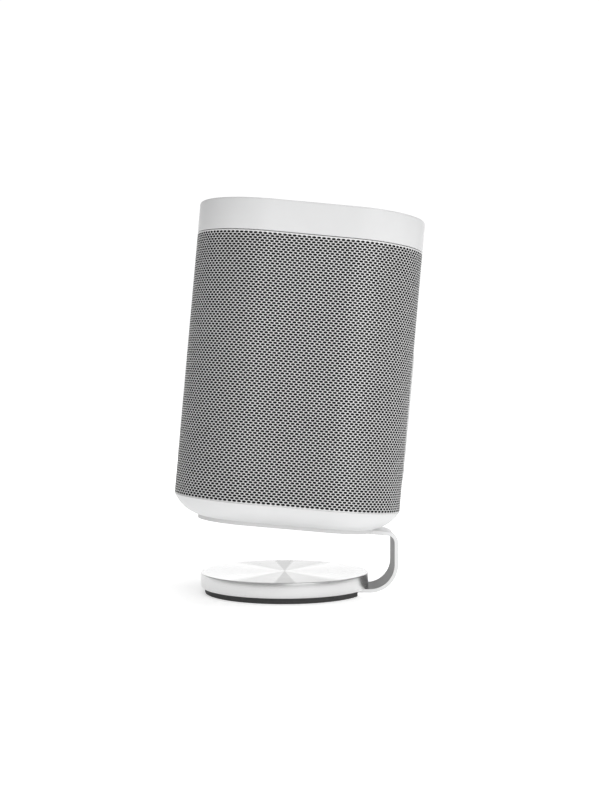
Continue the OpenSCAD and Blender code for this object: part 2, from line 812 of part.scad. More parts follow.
module tweeter_screws() {
    color("silver") on_stand() on_baffle(tweeter_z) screw_circle(tweeter_screw_r, 4, 45)
        translate([0, 0, horn_t]) rotate([180, 0, 0]) pan_screw(0.75, 6, 1.6, 1);
}

// ---------- Leads ----------

lead_r = 0.8;
lead_dx = 1.8;

module lead_pair(front_y, z) {
    for (s = [-1, 1]) facing_back(s * lead_dx, front_y, z) cylinder(r = lead_r, h = board_y - front_y);
}

module woofer_leads() {
    terminal_y = baffle_y + 12;
    basket_top_z = woofer_z + basket_r + 4.5;
    color("firebrick") on_stand() {
        lead_pair(terminal_y, lead_z[0]);
        for (s = [-1, 1]) {
            translate([s * lead_dx, terminal_y, lead_z[0]]) sphere(lead_r);
            translate([s * lead_dx, terminal_y, basket_top_z]) cylinder(r = lead_r, h = lead_z[0] - basket_top_z);
        }
    }
}

module tweeter_leads() {
    color("firebrick") on_stand() lead_pair(baffle_y + cup_depth, lead_z[1]);
}

module lead_grommets() {
    color("black") on_stand() for (z = lead_z) facing_back(0, divider_y - 1.2, z) difference() {
        union() {
            cylinder(r = grommet_r, h = 1.2);
            cylinder(r = grommet_r - 1.5, h = house_wall + 2.4);
            translate([0, 0, house_wall + 1.2]) cylinder(r = grommet_r, h = 1.2);
        }
        for (s = [-1, 1]) translate([s * lead_dx, 0, -over]) cylinder(r = lead_r, h = house_wall + 6);
    }
}

// ---------- Electronics ----------

module board(z, holes_z) {
    difference() {
        translate([-board_half_w, board_y, z[0]]) cube([2 * board_half_w, board_t, z[1] - z[0]]);
        for (sx = [-1, 1], hz = holes_z) facing_back(sx * board_screw_x, board_y - over, hz)
            cylinder(r = small_r + 0.1, h = board_t + 2 * over);
    }
}

module main_board() {
    color("seagreen") on_stand() board(main_board_z, [board_screw_z[2], board_screw_z[3]]);
}

module power_board() {
    color("seagreen") on_stand() board(power_board_z, [board_screw_z[0], board_screw_z[1]]);
}

module shield_can() {
    color("silver") on_stand() translate([-18, board_y + board_t, main_board_z[0] + 30]) difference() {
        cube([36, 3.2, 28]);
        translate([0.4, -over, 0.4]) cube([35.2, 3.8, 27.2]);
    }
}

module heat_sink() {
    fins = 9;
    sink_w = 56;
    color("darkgray") on_stand() translate([-sink_w / 2, board_y, main_board_z[0] + 3]) {
        translate([0, -2.5, 0]) cube([sink_w, 2.5, 24]);
        for (i = [0 : fins - 1]) translate([i * (sink_w - 1.2) / (fins - 1), -12, 0]) cube([1.2, 9.6, 24]);
    }
}

module power_parts() {
    color("darkorange") on_stand() {
        translate([-28, board_y - 17, power_board_z[0] + 12]) cube([24, 17, 22]);
        for (x = [8, 23]) translate([x, board_y - 15, power_board_z[0] + 24]) rotate([-90, 0, 0])
            cylinder(r = 6, h = 15);
        translate([16, board_y, power_board_z[0] + 8]) rotate([90, 0, 0]) ring(7, 3, 5);
    }
}

module board_screws() {
    color("silver") on_stand() for (sx = [-1, 1], z = board_screw_z)
        facing_back(sx * board_screw_x, board_y, z)
            pan_screw(small_r - 0.25, board_t + 7, small_head_r, small_head_h);
}

module wifi_antennas() {
    color("goldenrod") on_stand() for (s = [-1, 1])
        translate([s * 20 - 12, 42, house_top - house_wall - 0.8]) cube([24, 8, 0.8]);
}

// ---------- Controls ----------

plate_under = top_z - cap_wall;
carrier_z = house_top + 3.8;
carrier_t = 2;
cboard_z = carrier_z + carrier_t;
switch_z = cboard_z + board_t;
cboard_w = 72;
cboard_d = 48;
rocker_y = 6;
play_y = -14;
lens_y = -23.5;
mic_x = 31;
rocker_switch_x = 14;
pivot_z = plate_under - 3.1;
plunger_top = switch_z + 4.1;
flange_t = 1.2;
flange_out = 1.5;
ear_gap = 0.4;
ear_t = 2;
ear_y = rocker_w / 2 + flange_out + ear_gap;

module control_carrier() {
    color("dimgray") on_stand() difference() {
        union() {
            translate([-cboard_w / 2 - 2, -cboard_d / 2 - 2, carrier_z])
                cube([cboard_w + 4, cboard_d + 4, carrier_t]);
            for (sx = [-1, 1], sy = [-1, 1])
                translate([sx * (cboard_w / 2 - 3), sy * (cboard_d / 2 - 3), house_top])
                    cylinder(r = 3, h = carrier_z - house_top + eps);
            for (s = [-1, 1]) translate([-3, rocker_y + s * (ear_y + ear_t / 2) - ear_t / 2, carrier_z])
                cube([6, ear_t, pivot_z + 2 - carrier_z]);
        }
        translate([0, rocker_y, pivot_z]) rotate([90, 0, 0]) translate([0, 0, -30])
            cylinder(r = pivot_r + 0.05, h = 60);
    }
}

module control_board() {
    color("seagreen") on_stand() translate([0, 0, cboard_z]) difference() {
        translate([-cboard_w / 2, -cboard_d / 2, 0]) cube([cboard_w, cboard_d, board_t]);
        for (s = [-1, 1]) translate([-3.5, rocker_y + s * (ear_y + ear_t / 2) - ear_t / 2 - 0.5, -over])
            cube([7, ear_t + 1, board_t + 2 * over]);
    }
}

module tact_switch(x, y) {
    translate([x, y, switch_z]) {
        translate([-3, -3, 0]) cube([6, 6, 3.5]);
        cylinder(r = 1.6, h = plunger_top - switch_z);
    }
}

module tact_switches() {
    color("black") on_stand() {
        tact_switch(-rocker_switch_x, rocker_y);
        tact_switch(rocker_switch_x, rocker_y);
        tact_switch(0, play_y);
    }
}

module microphones() {
    color("gold") on_stand() for (s = [-1, 1]) translate([s * mic_x - 2, -1.5, switch_z]) cube([4, 3, 1]);
}

module mic_boots() {
    color("black") on_stand() for (s = [-1, 1]) translate([s * mic_x, 0, switch_z + 1])
        ring(2.6, 0.8, plate_under - switch_z - 1);
}

module status_lens() {
    color("white") on_stand() translate([0, lens_y, switch_z + 0.8]) {
        cylinder(r = 1.2, h = top_z - switch_z - 0.8);
        cylinder(r = 2.2, h = plate_under - switch_z - 0.8 - 0.1);
    }
}

// A cap-top control: the part that shows, a flange under the cap's plate, and a stem below
module control_top(w, d, r, flange_top) {
    translate([0, 0, flange_top - eps]) linear_extrude(top_z + button_proud - flange_top)
        rounded_rect(w, d, r);
    translate([0, 0, flange_top - flange_t]) linear_extrude(flange_t)
        rounded_rect(w + 2 * flange_out, d + 2 * flange_out, r + flange_out);
}

module play_button() {
    stem_bottom = plunger_top + button_travel + 0.2;
    color("white") on_stand() translate([0, play_y, 0]) difference() {
        union() {
            control_top(play_l, play_w, play_w / 2 - 0.1, plate_under - 0.1);
            translate([0, 0, stem_bottom]) cylinder(r = 2, h = plate_under - flange_t - stem_bottom);
        }
        translate([0, 0, top_z + button_proud + 30 - 0.5]) sphere(30);
    }
}

module volume_rocker() {
    flange_top = plate_under - 1.1;
    end_r = rocker_w / 2 - 0.1;
    color("white") on_stand() translate([0, rocker_y, 0]) difference() {
        union() {
            control_top(rocker_l, rocker_w, end_r, flange_top);
            translate([-2.5, -rocker_w / 2, pivot_z - pivot_r])
                cube([5, rocker_w, flange_top - flange_t - pivot_z + pivot_r + eps]);
            translate([0, 0, pivot_z]) rotate([90, 0, 0]) translate([0, 0, -ear_y - ear_t])
                cylinder(r = pivot_r, h = 2 * (ear_y + ear_t));
            for (s = [-1, 1]) translate([s * rocker_switch_x, 0, plunger_top + 1])
                cylinder(r = 1.5, h = flange_top - flange_t - plunger_top - 1 + eps);
        }
        for (s = [-1, 1]) translate([s * (rocker_l / 2 - 7), 0, top_z + button_proud + 12 - 0.5]) sphere(12);
    }
}

module cap_profile(h) {
    square([corner_r, h - cap_edge_r]);
    translate([0, h - cap_edge_r - eps]) square([corner_r - cap_edge_r, cap_edge_r + eps]);
    translate([corner_r - cap_edge_r, h - cap_edge_r]) circle(cap_edge_r);
}

module top_cap() {
    color("white") on_stand() difference() {
        union() {
            difference() {
                translate([0, 0, cap_z]) around_body(0, cap_h) cap_profile(cap_h);
                translate([0, 0, cap_z - over]) linear_extrude(cap_h - cap_wall + over)
                    body_outline(cap_wall);
            }
            body_ring(lip_inset, lip_t, cap_z - lip_h, lip_h + 2);
            for (sx = [-1, 1], sy = [-1, 1]) translate([sx * cap_boss_x, sy * cap_boss_y, house_top])
                cylinder(r = 3.6, h = plate_under - house_top + eps);
        }
        for (sx = [-1, 1], sy = [-1, 1]) translate([sx * cap_boss_x, sy * cap_boss_y, house_top - over])
            cylinder(r = small_r, h = over + 10);
        translate([0, play_y, plate_under - over]) linear_extrude(cap_wall + 2 * over)
            rounded_rect(play_l + 2 * button_gap, play_w + 2 * button_gap, play_w / 2 - 0.1 + button_gap);
        translate([0, rocker_y, plate_under - over]) linear_extrude(cap_wall + 2 * over)
            rounded_rect(rocker_l + 2 * button_gap, rocker_w + 2 * button_gap, rocker_w / 2 - 0.1 + button_gap);
        translate([0, lens_y, plate_under - over]) cylinder(r = 1.25, h = cap_wall + 2 * over);
        for (s = [-1, 1]) translate([s * mic_x, 0, plate_under - over])
            cylinder(r = 0.7, h = cap_wall + 2 * over);
    }
}

module cap_screws() {
    color("silver") on_stand() for (sx = [-1, 1], sy = [-1, 1])
        translate([sx * cap_boss_x, sy * cap_boss_y, house_top - house_wall])
            pan_screw(small_r - shank_gap, house_wall + 9, small_head_r, small_head_h);
}

desk_pad();
stand_disc();
stand_arm();
disc_screws();
cradle_screws();
foot_pad();
base_tray();
tray_inserts();
tray_screws();
grille_sleeve();
acoustic_cloth();
front_housing();
chamber_seal();
chamber_back();
rear_housing();
housing_bolts();
rear_panel();
mount_insert();
panel_screws();
network_socket();
power_inlet();
inlet_pins();
woofer_seal();
woofer_frame();
woofer_top_plate();
woofer_magnet();
woofer_yoke();
woofer_spider();
woofer_surround();
woofer_cone();
woofer_dust_cap();
coil_former();
coil_winding();
woofer_screws();
tweeter_horn();
tweeter_cup();
tweeter_magnet();
tweeter_dome();
tweeter_winding();
tweeter_screws();
woofer_leads();
tweeter_leads();
lead_grommets();
main_board();
shield_can();
heat_sink();
power_board();
power_parts();
board_screws();
wifi_antennas();
control_carrier();
control_board();
tact_switches();
microphones();
mic_boots();
status_lens();
play_button();
volume_rocker();
top_cap();
cap_screws();
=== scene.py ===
# %% [markdown]
# # A leaning smart speaker on its desk stand
#
# The speaker is a rounded-square tower: a white moulded cap, a sleeve of perforated sheet
# metal, a white tray and a foot. It leans back a few degrees on a thin bent strap that grows
# out of a round spun metal disc. The engineering model is loaded first and stays fixed. This
# lesson then gives every visible shell a finer surface, worked out with numpy, and every piece
# a material made of shader nodes.

import json
import math

import bmesh
import bpy
import numpy as np
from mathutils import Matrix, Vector
from mathutils.geometry import delaunay_2d_cdt


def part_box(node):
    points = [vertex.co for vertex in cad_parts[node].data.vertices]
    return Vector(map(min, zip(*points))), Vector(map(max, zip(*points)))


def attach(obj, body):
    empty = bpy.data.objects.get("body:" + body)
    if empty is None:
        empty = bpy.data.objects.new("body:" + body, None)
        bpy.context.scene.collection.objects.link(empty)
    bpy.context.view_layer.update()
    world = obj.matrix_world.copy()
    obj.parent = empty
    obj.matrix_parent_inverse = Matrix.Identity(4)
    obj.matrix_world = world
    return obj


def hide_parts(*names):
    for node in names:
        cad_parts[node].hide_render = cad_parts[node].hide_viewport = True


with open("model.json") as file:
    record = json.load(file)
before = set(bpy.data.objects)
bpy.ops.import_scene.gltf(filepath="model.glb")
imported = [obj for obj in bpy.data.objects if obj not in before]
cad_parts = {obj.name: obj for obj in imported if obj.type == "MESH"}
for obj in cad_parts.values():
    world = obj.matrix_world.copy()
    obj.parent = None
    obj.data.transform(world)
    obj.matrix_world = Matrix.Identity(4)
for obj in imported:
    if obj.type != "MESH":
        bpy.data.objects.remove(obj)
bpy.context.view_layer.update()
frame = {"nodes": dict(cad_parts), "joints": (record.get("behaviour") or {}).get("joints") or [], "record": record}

# %% [markdown]
# ## The speaker's own frame
#
# The body leans, so its shapes are easiest to describe upright, with the origin in the middle
# of the foot's underside, and then to turn back. The play button is pressed straight down its
# own axis, so that joint's axis is the leaning frame's down direction. The foot is a plain
# plate, so the middle of its box is the middle of the plate, half its thickness up.

# %% Turn between the upright frame and the leaning one
MM = 0.001
FOOT_T = 2.0
press = next(j for j in frame["joints"] if j["name"] == "play_button_press")
up = -np.array(press["axis"])
axes = np.array([[1.0, 0.0, 0.0], [0.0, up[2], -up[1]], up])
foot_low, foot_high = (np.array(corner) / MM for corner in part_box("foot_pad"))
seat = (foot_low + foot_high) / 2 - up * FOOT_T / 2


def lean(points):
    """Upright millimetres to the row's metres: x along +X, y along the leaning back, z along up."""
    return (points @ axes + seat) * MM


def upright_points(node):
    """Every mesh point of an engineering piece in the upright frame, in millimetres."""
    mesh = frame["nodes"][node].data
    points = np.empty(len(mesh.vertices) * 3)
    mesh.vertices.foreach_get("co", points)
    return (points.reshape(-1, 3) / MM - seat) @ axes.T


def upright_box(node):
    """The lowest and highest corner of an engineering piece in the upright frame."""
    points = upright_points(node)
    return points.min(0), points.max(0)


print("lean, degrees:", round(math.degrees(math.atan2(up[1], up[2])), 3), "seat, mm:", seat.round(2))

# %% [markdown]
# ## Sizes
#
# The outline, the heights and the places of the controls are measured on the engineering
# model. Only what a box can't tell is named here: wall thicknesses, small edge radii and the
# lips inside. A rounded square of half width h and corner radius r reaches
# 2(h - r) + r * sqrt(2) along its diagonal, which gives the radius from the widest x + y.

# %% Measure the body
sleeve = upright_points("grille_sleeve")
HALF = sleeve[:, 0].max()
GRILLE_LOW, GRILLE_HIGH = sleeve[:, 2].min(), sleeve[:, 2].max()
diagonal = (sleeve[:, 0] + sleeve[:, 1]).max()
CORNER_R = (2 * HALF - diagonal) / (2 - math.sqrt(2))
STRAIGHT = 2 * (HALF - CORNER_R)
PERIMETER = 4 * STRAIGHT + 2 * math.pi * CORNER_R

LIP_T, LIP_IN, LIP_H = 1.4, 1.5, 3.0
CAP_WALL, CAP_EDGE_R, SEAM_R = 2.5, 1.2, 0.25
cap_low, cap_high = upright_box("top_cap")
CAP_LOW, CAP_TOP = cap_low[2] + LIP_H, cap_high[2]
SHEET_T = 0.8
print(f"body {2 * HALF:.1f} mm wide, corners {CORNER_R:.1f}, grille {GRILLE_LOW:.1f} to {GRILLE_HIGH:.1f},",
      f"cap {CAP_LOW:.1f} to {CAP_TOP:.1f}")

# %% [markdown]
# ## Meshes from arrays
#
# A mesh is three flat arrays: points, the corner numbers of every face, and how many corners
# each face has. Blender copies them in with `foreach_set`, with no loop over vertices. A
# lofted shape is a stack of rings; neighbours in the stack are joined by four-sided faces, and
# a pole closes each end. Where the rings run anticlockwise seen from above and climb on the
# outside of the shape, every face points outwards.

# %% Build, ring and plate helpers
def face_block(faces):
    """Faces of one kind as a whole-number array, one row a face."""
    return np.asarray(faces, dtype=np.int64)


def ring_faces(rows, columns, first=0):
    """Four-sided faces between neighbouring rings of a (rows, columns) grid of points."""
    r = np.arange(rows - 1)[:, None]
    c = np.arange(columns)[None, :]
    below, above = first + r * columns, first + (r + 1) * columns
    ahead = (c + 1) % columns
    return face_block(np.stack([below + c, below + ahead, above + ahead, above + c], -1).reshape(-1, 4))


def build(name, points, face_blocks, body, sharp=35.0):
    """A mesh object from points in metres and blocks of equal-sided faces. It rides on a body."""
    mesh = bpy.data.meshes.new(name)
    corners = np.concatenate([block.ravel() for block in face_blocks])
    sides = np.concatenate([np.full(len(block), block.shape[1]) for block in face_blocks])
    mesh.vertices.add(len(points))
    mesh.vertices.foreach_set("co", np.asarray(points, np.float32).ravel())
    mesh.loops.add(len(corners))
    mesh.loops.foreach_set("vertex_index", corners.astype(np.int32))
    mesh.polygons.add(len(sides))
    mesh.polygons.foreach_set("loop_start", (np.cumsum(sides) - sides).astype(np.int32))
    mesh.polygons.foreach_set("loop_total", sides.astype(np.int32))
    mesh.update(calc_edges=True)
    mesh.shade_smooth()
    mesh.set_sharp_from_angle(angle=math.radians(sharp))
    piece = bpy.data.objects.new(name, mesh)
    bpy.context.scene.collection.objects.link(piece)
    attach(piece, body)
    print(f"{name}: {len(points)} points, {len(sides)} faces")
    return piece


def coat(piece, outer, inner=None, inside=None):
    """Gives a piece its finish, and a second one to the faces that inside marks with a 1."""
    piece.data.materials.append(finish[outer])
    if inner:
        piece.data.materials.append(finish[inner])
        piece.data.polygons.foreach_set("material_index", np.asarray(inside, np.int32))


def loft(rings, first_pole=None, last_pole=None):
    """Points and faces of a stack of rings (rows, columns, 3), with a point closing each end."""
    rows, columns = rings.shape[:2]
    points, blocks = [rings.reshape(-1, 3)], [ring_faces(rows, columns)]
    here = np.arange(columns)
    ahead = (here + 1) % columns
    total = rows * columns
    for pole, start, turn in ((first_pole, 0, -1), (last_pole, total - columns, 1)):
        if pole is None:
            continue
        tip = np.full(columns, sum(len(p) for p in points))
        points.append(np.asarray(pole, float).reshape(1, 3))
        blocks.append(face_block(np.stack([tip, start + here, start + ahead], -1)[:, ::turn]))
    return np.concatenate(points), blocks


def plate_faces(loops):
    """Triangles of a flat plate: the first loop is its edge and the others are holes in it.

    The corners are joined by a constrained Delaunay triangulation. A triangle whose three
    corners belong to one hole fills that hole, so it is dropped.
    """
    owner = np.repeat(np.arange(len(loops)), [len(loop) for loop in loops])
    starts = np.cumsum([0] + [len(loop) for loop in loops])
    edges = [(int(start + k), int(start + (k + 1) % count))
             for start, count in zip(starts, map(len, loops)) for k in range(count)]
    flat = [Vector(p) for p in np.concatenate(loops)[:, :2]]
    made = delaunay_2d_cdt(flat, edges, [], 1, 1e-7)
    source = np.array([ids[0] for ids in made[3]])
    tris = source[face_block(made[2])]
    own = owner[tris]
    fills = (own[:, 0] == own[:, 1]) & (own[:, 1] == own[:, 2]) & (own[:, 0] > 0)
    return tris[~fills]


# %% [markdown]
# ## The rounded square
#
# Everything on the body follows one outline: four straight stretches and four quarter circles.
# It is walked by its own length s, from the middle of the front face anticlockwise seen from
# above. Each quarter of the walk is the same, turned by 90 degrees: half a straight, an arc,
# half a straight. Setting the outline in by d moves a point along its inward normal, so the
# corner radius shrinks by d and the straights stay. The grille's holes use the same walk, and
# so the shells around it have their corners exactly where the sheet has its own.

# %% Walk the outline
AROUND = 336


def outline(s, inset=0.0):
    """Points (x, y) and outward normals of the rounded square at length s, set in by inset."""
    quarter = PERIMETER / 4
    turn = np.floor(s / quarter)
    t = s - turn * quarter
    bend = np.clip((t - STRAIGHT / 2) / CORNER_R, 0, math.pi / 2)
    along = np.minimum(t, STRAIGHT / 2) + CORNER_R * np.sin(bend)
    rest = np.maximum(t - STRAIGHT / 2 - CORNER_R * math.pi / 2, 0)
    depth = HALF - CORNER_R * (1 - np.cos(bend)) - rest
    angle = turn * math.pi / 2
    normal_u, normal_v = np.sin(bend), np.cos(bend)
    u, v = along - inset * normal_u, depth - inset * normal_v
    cos_a, sin_a = np.cos(angle), np.sin(angle)
    spot = np.stack([u * cos_a + v * sin_a, u * sin_a - v * cos_a], -1)
    normal = np.stack([normal_u * cos_a + normal_v * sin_a, normal_u * sin_a - normal_v * cos_a], -1)
    return spot, normal


def carried(profile):
    """Rings of a profile carried round the outline. A profile point is (inset, height)."""
    s = np.arange(AROUND) / AROUND * PERIMETER
    spot, normal = outline(s)
    inset, height = np.asarray(profile, float).T
    flat = spot[None] - inset[:, None, None] * normal[None]
    return np.concatenate([flat, np.broadcast_to(height[:, None, None], flat.shape[:2] + (1,))], -1)


def arc(centre, radius, start, end, steps=8):
    """Points of an arc in a profile, from one angle to another in degrees, both ends included."""
    a = np.radians(np.linspace(start, end, steps + 1))
    return [(centre[0] + radius * math.cos(t), centre[1] + radius * math.sin(t)) for t in a]


# %% [markdown]
# ## Shader nodes as arithmetic
#
# A `Wire` holds one socket of a node tree. Adding or multiplying wires adds a Math node, so a
# pattern reads like a formula. A `Recipe` is one material: its `node` method makes any other
# node, settings first and sockets after, and its `paint` method ends the tree in a Principled
# shader. Patterns read Object coordinates in millimetres, so a grain of 0.2 is 0.2 mm on every
# piece, whatever its size.

# %% The wire and the recipe
class Wire:
    """One output socket, with Python's arithmetic standing for Math nodes."""

    def __init__(self, recipe, socket):
        self.recipe, self.socket = recipe, socket

    def maths(self, operation, *values):
        return self.recipe.node("ShaderNodeMath", {"operation": operation}, dict(enumerate(values)))

    def __add__(self, other):
        return self.maths("ADD", self, other)

    def __sub__(self, other):
        return self.maths("SUBTRACT", self, other)

    def __mul__(self, other):
        return self.maths("MULTIPLY", self, other)

    def __truediv__(self, other):
        return self.maths("DIVIDE", self, other)

    def __pow__(self, other):
        return self.maths("POWER", self, other)

    def sine(self):
        return self.maths("SINE", self)

    def clamp(self):
        """The value held between 0 and 1."""
        return self.maths("MINIMUM", self.maths("MAXIMUM", self, 0.0), 1.0)


class Recipe:
    """One material in the making."""

    def __init__(self, name):
        self.material = bpy.data.materials.new(name)
        self.material.use_nodes = True
        self.tree = self.material.node_tree
        self.tree.nodes.clear()
        self.here = self.node("ShaderNodeVectorMath", {"operation": "SCALE"},
                              {0: self.node("ShaderNodeTexCoord", output="Object"), "Scale": 1 / MM})

    def node(self, kind, settings=None, inputs=None, output=0):
        """Adds a node: its settings, then a value or a wire for each socket. Gives back one output."""
        made = self.tree.nodes.new(kind)
        for key, value in (settings or {}).items():
            setattr(made, key, value)
        for key, value in (inputs or {}).items():
            if isinstance(value, Wire):
                self.tree.links.new(value.socket, made.inputs[key])
            else:
                made.inputs[key].default_value = value
        return Wire(self, made.outputs[output])

    def noise(self, size, detail=2.0, roughness=0.5, stretch=None):
        """Soft noise from 0 to 1 with features of this size in mm, longer along a stretched axis."""
        where = self.here
        if stretch:
            where = self.node("ShaderNodeVectorMath", {"operation": "DIVIDE"}, {0: where, 1: stretch})
        return self.node("ShaderNodeTexNoise", {}, {"Vector": where, "Scale": 1 / size,
                         "Detail": detail, "Roughness": roughness}, "Fac")

    def cells(self, size):
        """Distance from the middle of the nearest cell, for foam, grit and speckle."""
        return self.node("ShaderNodeTexVoronoi", {}, {"Vector": self.here, "Scale": 1 / size}, "Distance")

    def mix(self, factor, low, high):
        """A colour between two colours."""
        made = self.tree.nodes.new("ShaderNodeMix")
        made.data_type = "RGBA"
        colour_in = [s for s in made.inputs if s.type == "RGBA"]
        factor_in = next(s for s in made.inputs if s.type == "VALUE" and s.name == "Factor")
        for socket, value in ((factor_in, factor), (colour_in[0], low), (colour_in[1], high)):
            if isinstance(value, Wire):
                self.tree.links.new(value.socket, socket)
            elif socket is factor_in:
                socket.default_value = value
            else:
                socket.default_value = (*value, 1.0)
        return Wire(self, next(s for s in made.outputs if s.type == "RGBA"))

    def parts(self):
        """The x, y and z of the place being shaded, in mm."""
        made = self.tree.nodes.new("ShaderNodeSeparateXYZ")
        self.tree.links.new(self.here.socket, made.inputs[0])
        return [Wire(self, s) for s in made.outputs]

    def paint(self, colour, roughness, height=None, depth=0.02, **fixed):
        """Ends the tree. Height is a bump from 0 to 1, and depth is its full height in mm."""
        shader = self.tree.nodes.new("ShaderNodeBsdfPrincipled")
        links = {"Base Color": colour, "Roughness": roughness}
        if height is not None:
            links["Normal"] = self.node("ShaderNodeBump", {}, {"Height": height, "Strength": 1.0,
                                        "Distance": depth * MM})
        for key, value in links.items():
            if isinstance(value, Wire):
                self.tree.links.new(value.socket, shader.inputs[key])
            else:
                shader.inputs[key].default_value = (*value, 1.0) if key == "Base Color" else value
        for key, value in fixed.items():
            socket = shader.inputs[key.replace("_", " ").title()]
            if isinstance(value, Wire):
                self.tree.links.new(value.socket, socket)
            else:
                socket.default_value = value
        end = self.tree.nodes.new("ShaderNodeOutputMaterial")
        self.tree.links.new(shader.outputs[0], end.inputs[0])
        return self.material


# %% [markdown]
# ## Moulded white plastic
#
# The cap, tray, foot and buttons come out of spark-eroded moulds: satin, with a texture finer
# than a tenth of a millimetre and a very faint change of gloss from flow in the mould. A flat
# white would look like plaster, so the gloss varies a little and a fine bump breaks up the
# highlight. One function makes every shade of it.

# %% Moulded plastics
def shade(grey, warmth=0.0):
    """A grey as a colour, a little warmer or cooler."""
    return (grey + warmth, grey, grey - warmth)


def moulded(name, grey, roughness, grain=0.16, depth=0.006, warmth=0.0, mottle=0.03):
    """Satin moulded plastic: fine grain in the bump, slow change in the gloss and the shade."""
    recipe = Recipe(name)
    slow, fine = recipe.noise(14.0, 3.0), recipe.noise(grain, 2.0, 0.6)
    colour = recipe.mix(slow, shade(grey * (1 - mottle), warmth), shade(min(grey * (1 + mottle), 1), warmth))
    return recipe.paint(colour, slow * 0.10 + fine * 0.06 + (roughness - 0.08), fine, depth)


finish = {
    "white_shell": moulded("white shell", 0.75, 0.44, warmth=-0.002),
    "white_foot": moulded("white foot", 0.64, 0.55),
    "white_button": moulded("white button", 0.75, 0.36, grain=0.12),
    "white_panel": moulded("white panel", 0.74, 0.46),
    "grey_housing": moulded("grey housing", 0.075, 0.5, mottle=0.1),
    "black_plastic": moulded("black plastic", 0.028, 0.42, mottle=0.1),
    "lens_clear": moulded("frosted lens", 0.86, 0.25, depth=0.002),
}
print(len(finish), "moulded finishes")

# %% [markdown]
# ## Painted metal
#
# The sleeve is punched sheet sprayed with a fine silver paint: a dielectric film over metal
# flake, so it is partly metallic, and flakes a few hundredths of a millimetre across change the
# gloss. Only its outer face is silver: the holes' walls and the back are near black as painted
# shade, which makes the holes look deep. The strap is powder coated, which levels into a soft
# orange peel about a millimetre from crest to crest, and the side it turns to the disc is painted
# dark grey as painted shade.

# %% Silver spray and white powder coat
def silver_spray():
    """Light silver paint: flakes as fine noise in shade and gloss, a thin clear film on top."""
    recipe = Recipe("silver spray")
    flake, slow = recipe.noise(0.05, 1.0), recipe.noise(20.0, 2.0)
    colour = recipe.mix(flake * 0.6 + slow * 0.4, shade(0.70), shade(0.80))
    return recipe.paint(colour, flake * 0.12 + 0.30, recipe.noise(0.3, 2.0), 0.004,
                        metallic=0.25, coat_weight=0.15)


def powder_coat():
    """White powder coat: orange peel in the bump, an even satin gloss."""
    recipe = Recipe("white powder coat")
    peel = recipe.noise(0.9, 2.0, 0.4)
    colour = recipe.mix(recipe.noise(9.0), shade(0.80), shade(0.85))
    return recipe.paint(colour, peel * 0.08 + 0.34, peel, 0.012, coat_weight=0.1)


finish["grille_metal"] = silver_spray()
# Near black on the hole walls and the sleeve's back: painted shade for the dark inside the holes.
finish["sleeve_painted_shade"] = moulded("painted shade black", 0.006, 0.7)
finish["white_steel"] = powder_coat()
# Dark grey on the strap's faces inside the C: painted shade for the shade between the disc and the tray.
finish["strap_painted_shade"] = moulded("painted shade grey", 0.13, 0.42, grain=0.3, mottle=0.05)

# %% [markdown]
# ## Spun aluminium
#
# A tool that holds still while the disc spins leaves grooves in rings. Along a ring the metal
# is smooth and across it rough, and that spreads each reflection into a fan that runs out from
# the middle. Cycles stretches a reflection along circles round the piece's Z axis by itself, so
# the Anisotropic value gives a soft fan, and noise that reads the radius gives uneven grooves.
#
# The bright and dark fans that a room makes on such a face lie along X here. The dark ones are
# painted into the colour as painted reflection. Their share of the circle is set by sin^2 of the
# angle from X: full below the first number, gone above the second. They lie on the top face only,
# and the rim is painted one even darker tone as painted shade.

# %% Metals
# How much darker the painted reflection fans are, and how much darker the rim is painted as shade.
WIDE_FAN, NARROW_FAN = (0.26, 0.46), (0.008, 0.020)
WIDE_PAINTED_REFLECTION, NARROW_PAINTED_REFLECTION, RIM_PAINTED_SHADE = 0.55, 0.45, 0.40
FACE_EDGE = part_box("stand_disc")[1][2] / MM - 0.2


def spun_metal():
    """Bright aluminium: fine uneven grooves in rings, two pairs of darker fans along X as painted reflection, and
    a rim darkened as painted shade.
    """
    recipe = Recipe("spun aluminium with painted fans")
    x, y, z = recipe.parts()
    radius = (x * x + y * y) ** 0.5
    across = (y * y) / (x * x + y * y + 0.01)
    wide = ((across - WIDE_FAN[1]) * (1 / (WIDE_FAN[0] - WIDE_FAN[1]))).clamp()
    narrow = ((across - NARROW_FAN[1]) * (1 / (NARROW_FAN[0] - NARROW_FAN[1]))).clamp()
    ring_place = recipe.node("ShaderNodeCombineXYZ", {}, {0: radius, 1: z})
    uneven = recipe.node("ShaderNodeTexNoise", {}, {"Vector": ring_place, "Scale": 1.6, "Detail": 3.0}, "Fac")
    on_top = ((z - FACE_EDGE) * 10.0).clamp()
    painted_fans = wide * WIDE_PAINTED_REFLECTION + narrow * NARROW_PAINTED_REFLECTION
    # Painted reflection on the top face, painted shade on the rim, and a little groove noise on both.
    painted_and_groove_dark = ((painted_fans - RIM_PAINTED_SHADE) * on_top + RIM_PAINTED_SHADE + uneven * 0.05).clamp()
    colour = recipe.mix(painted_and_groove_dark, shade(0.98), shade(0.36))
    return recipe.paint(colour, uneven * 0.08 + 0.22, uneven, 0.0006, metallic=0.9, anisotropic=0.4)


def machined(name, colour, roughness, grain=(1.0, 1.0, 1.0), size=0.12):
    """Plated or machined metal: fine noise, drawn out along the tool's path, in gloss and bump."""
    recipe = Recipe(name)
    marks = recipe.noise(size, 3.0, 0.6, grain)
    tint = recipe.mix(recipe.noise(3.0), tuple(c * 0.92 for c in colour), colour)
    return recipe.paint(tint, marks * 0.18 + (roughness - 0.09), marks, 0.003, metallic=1.0)


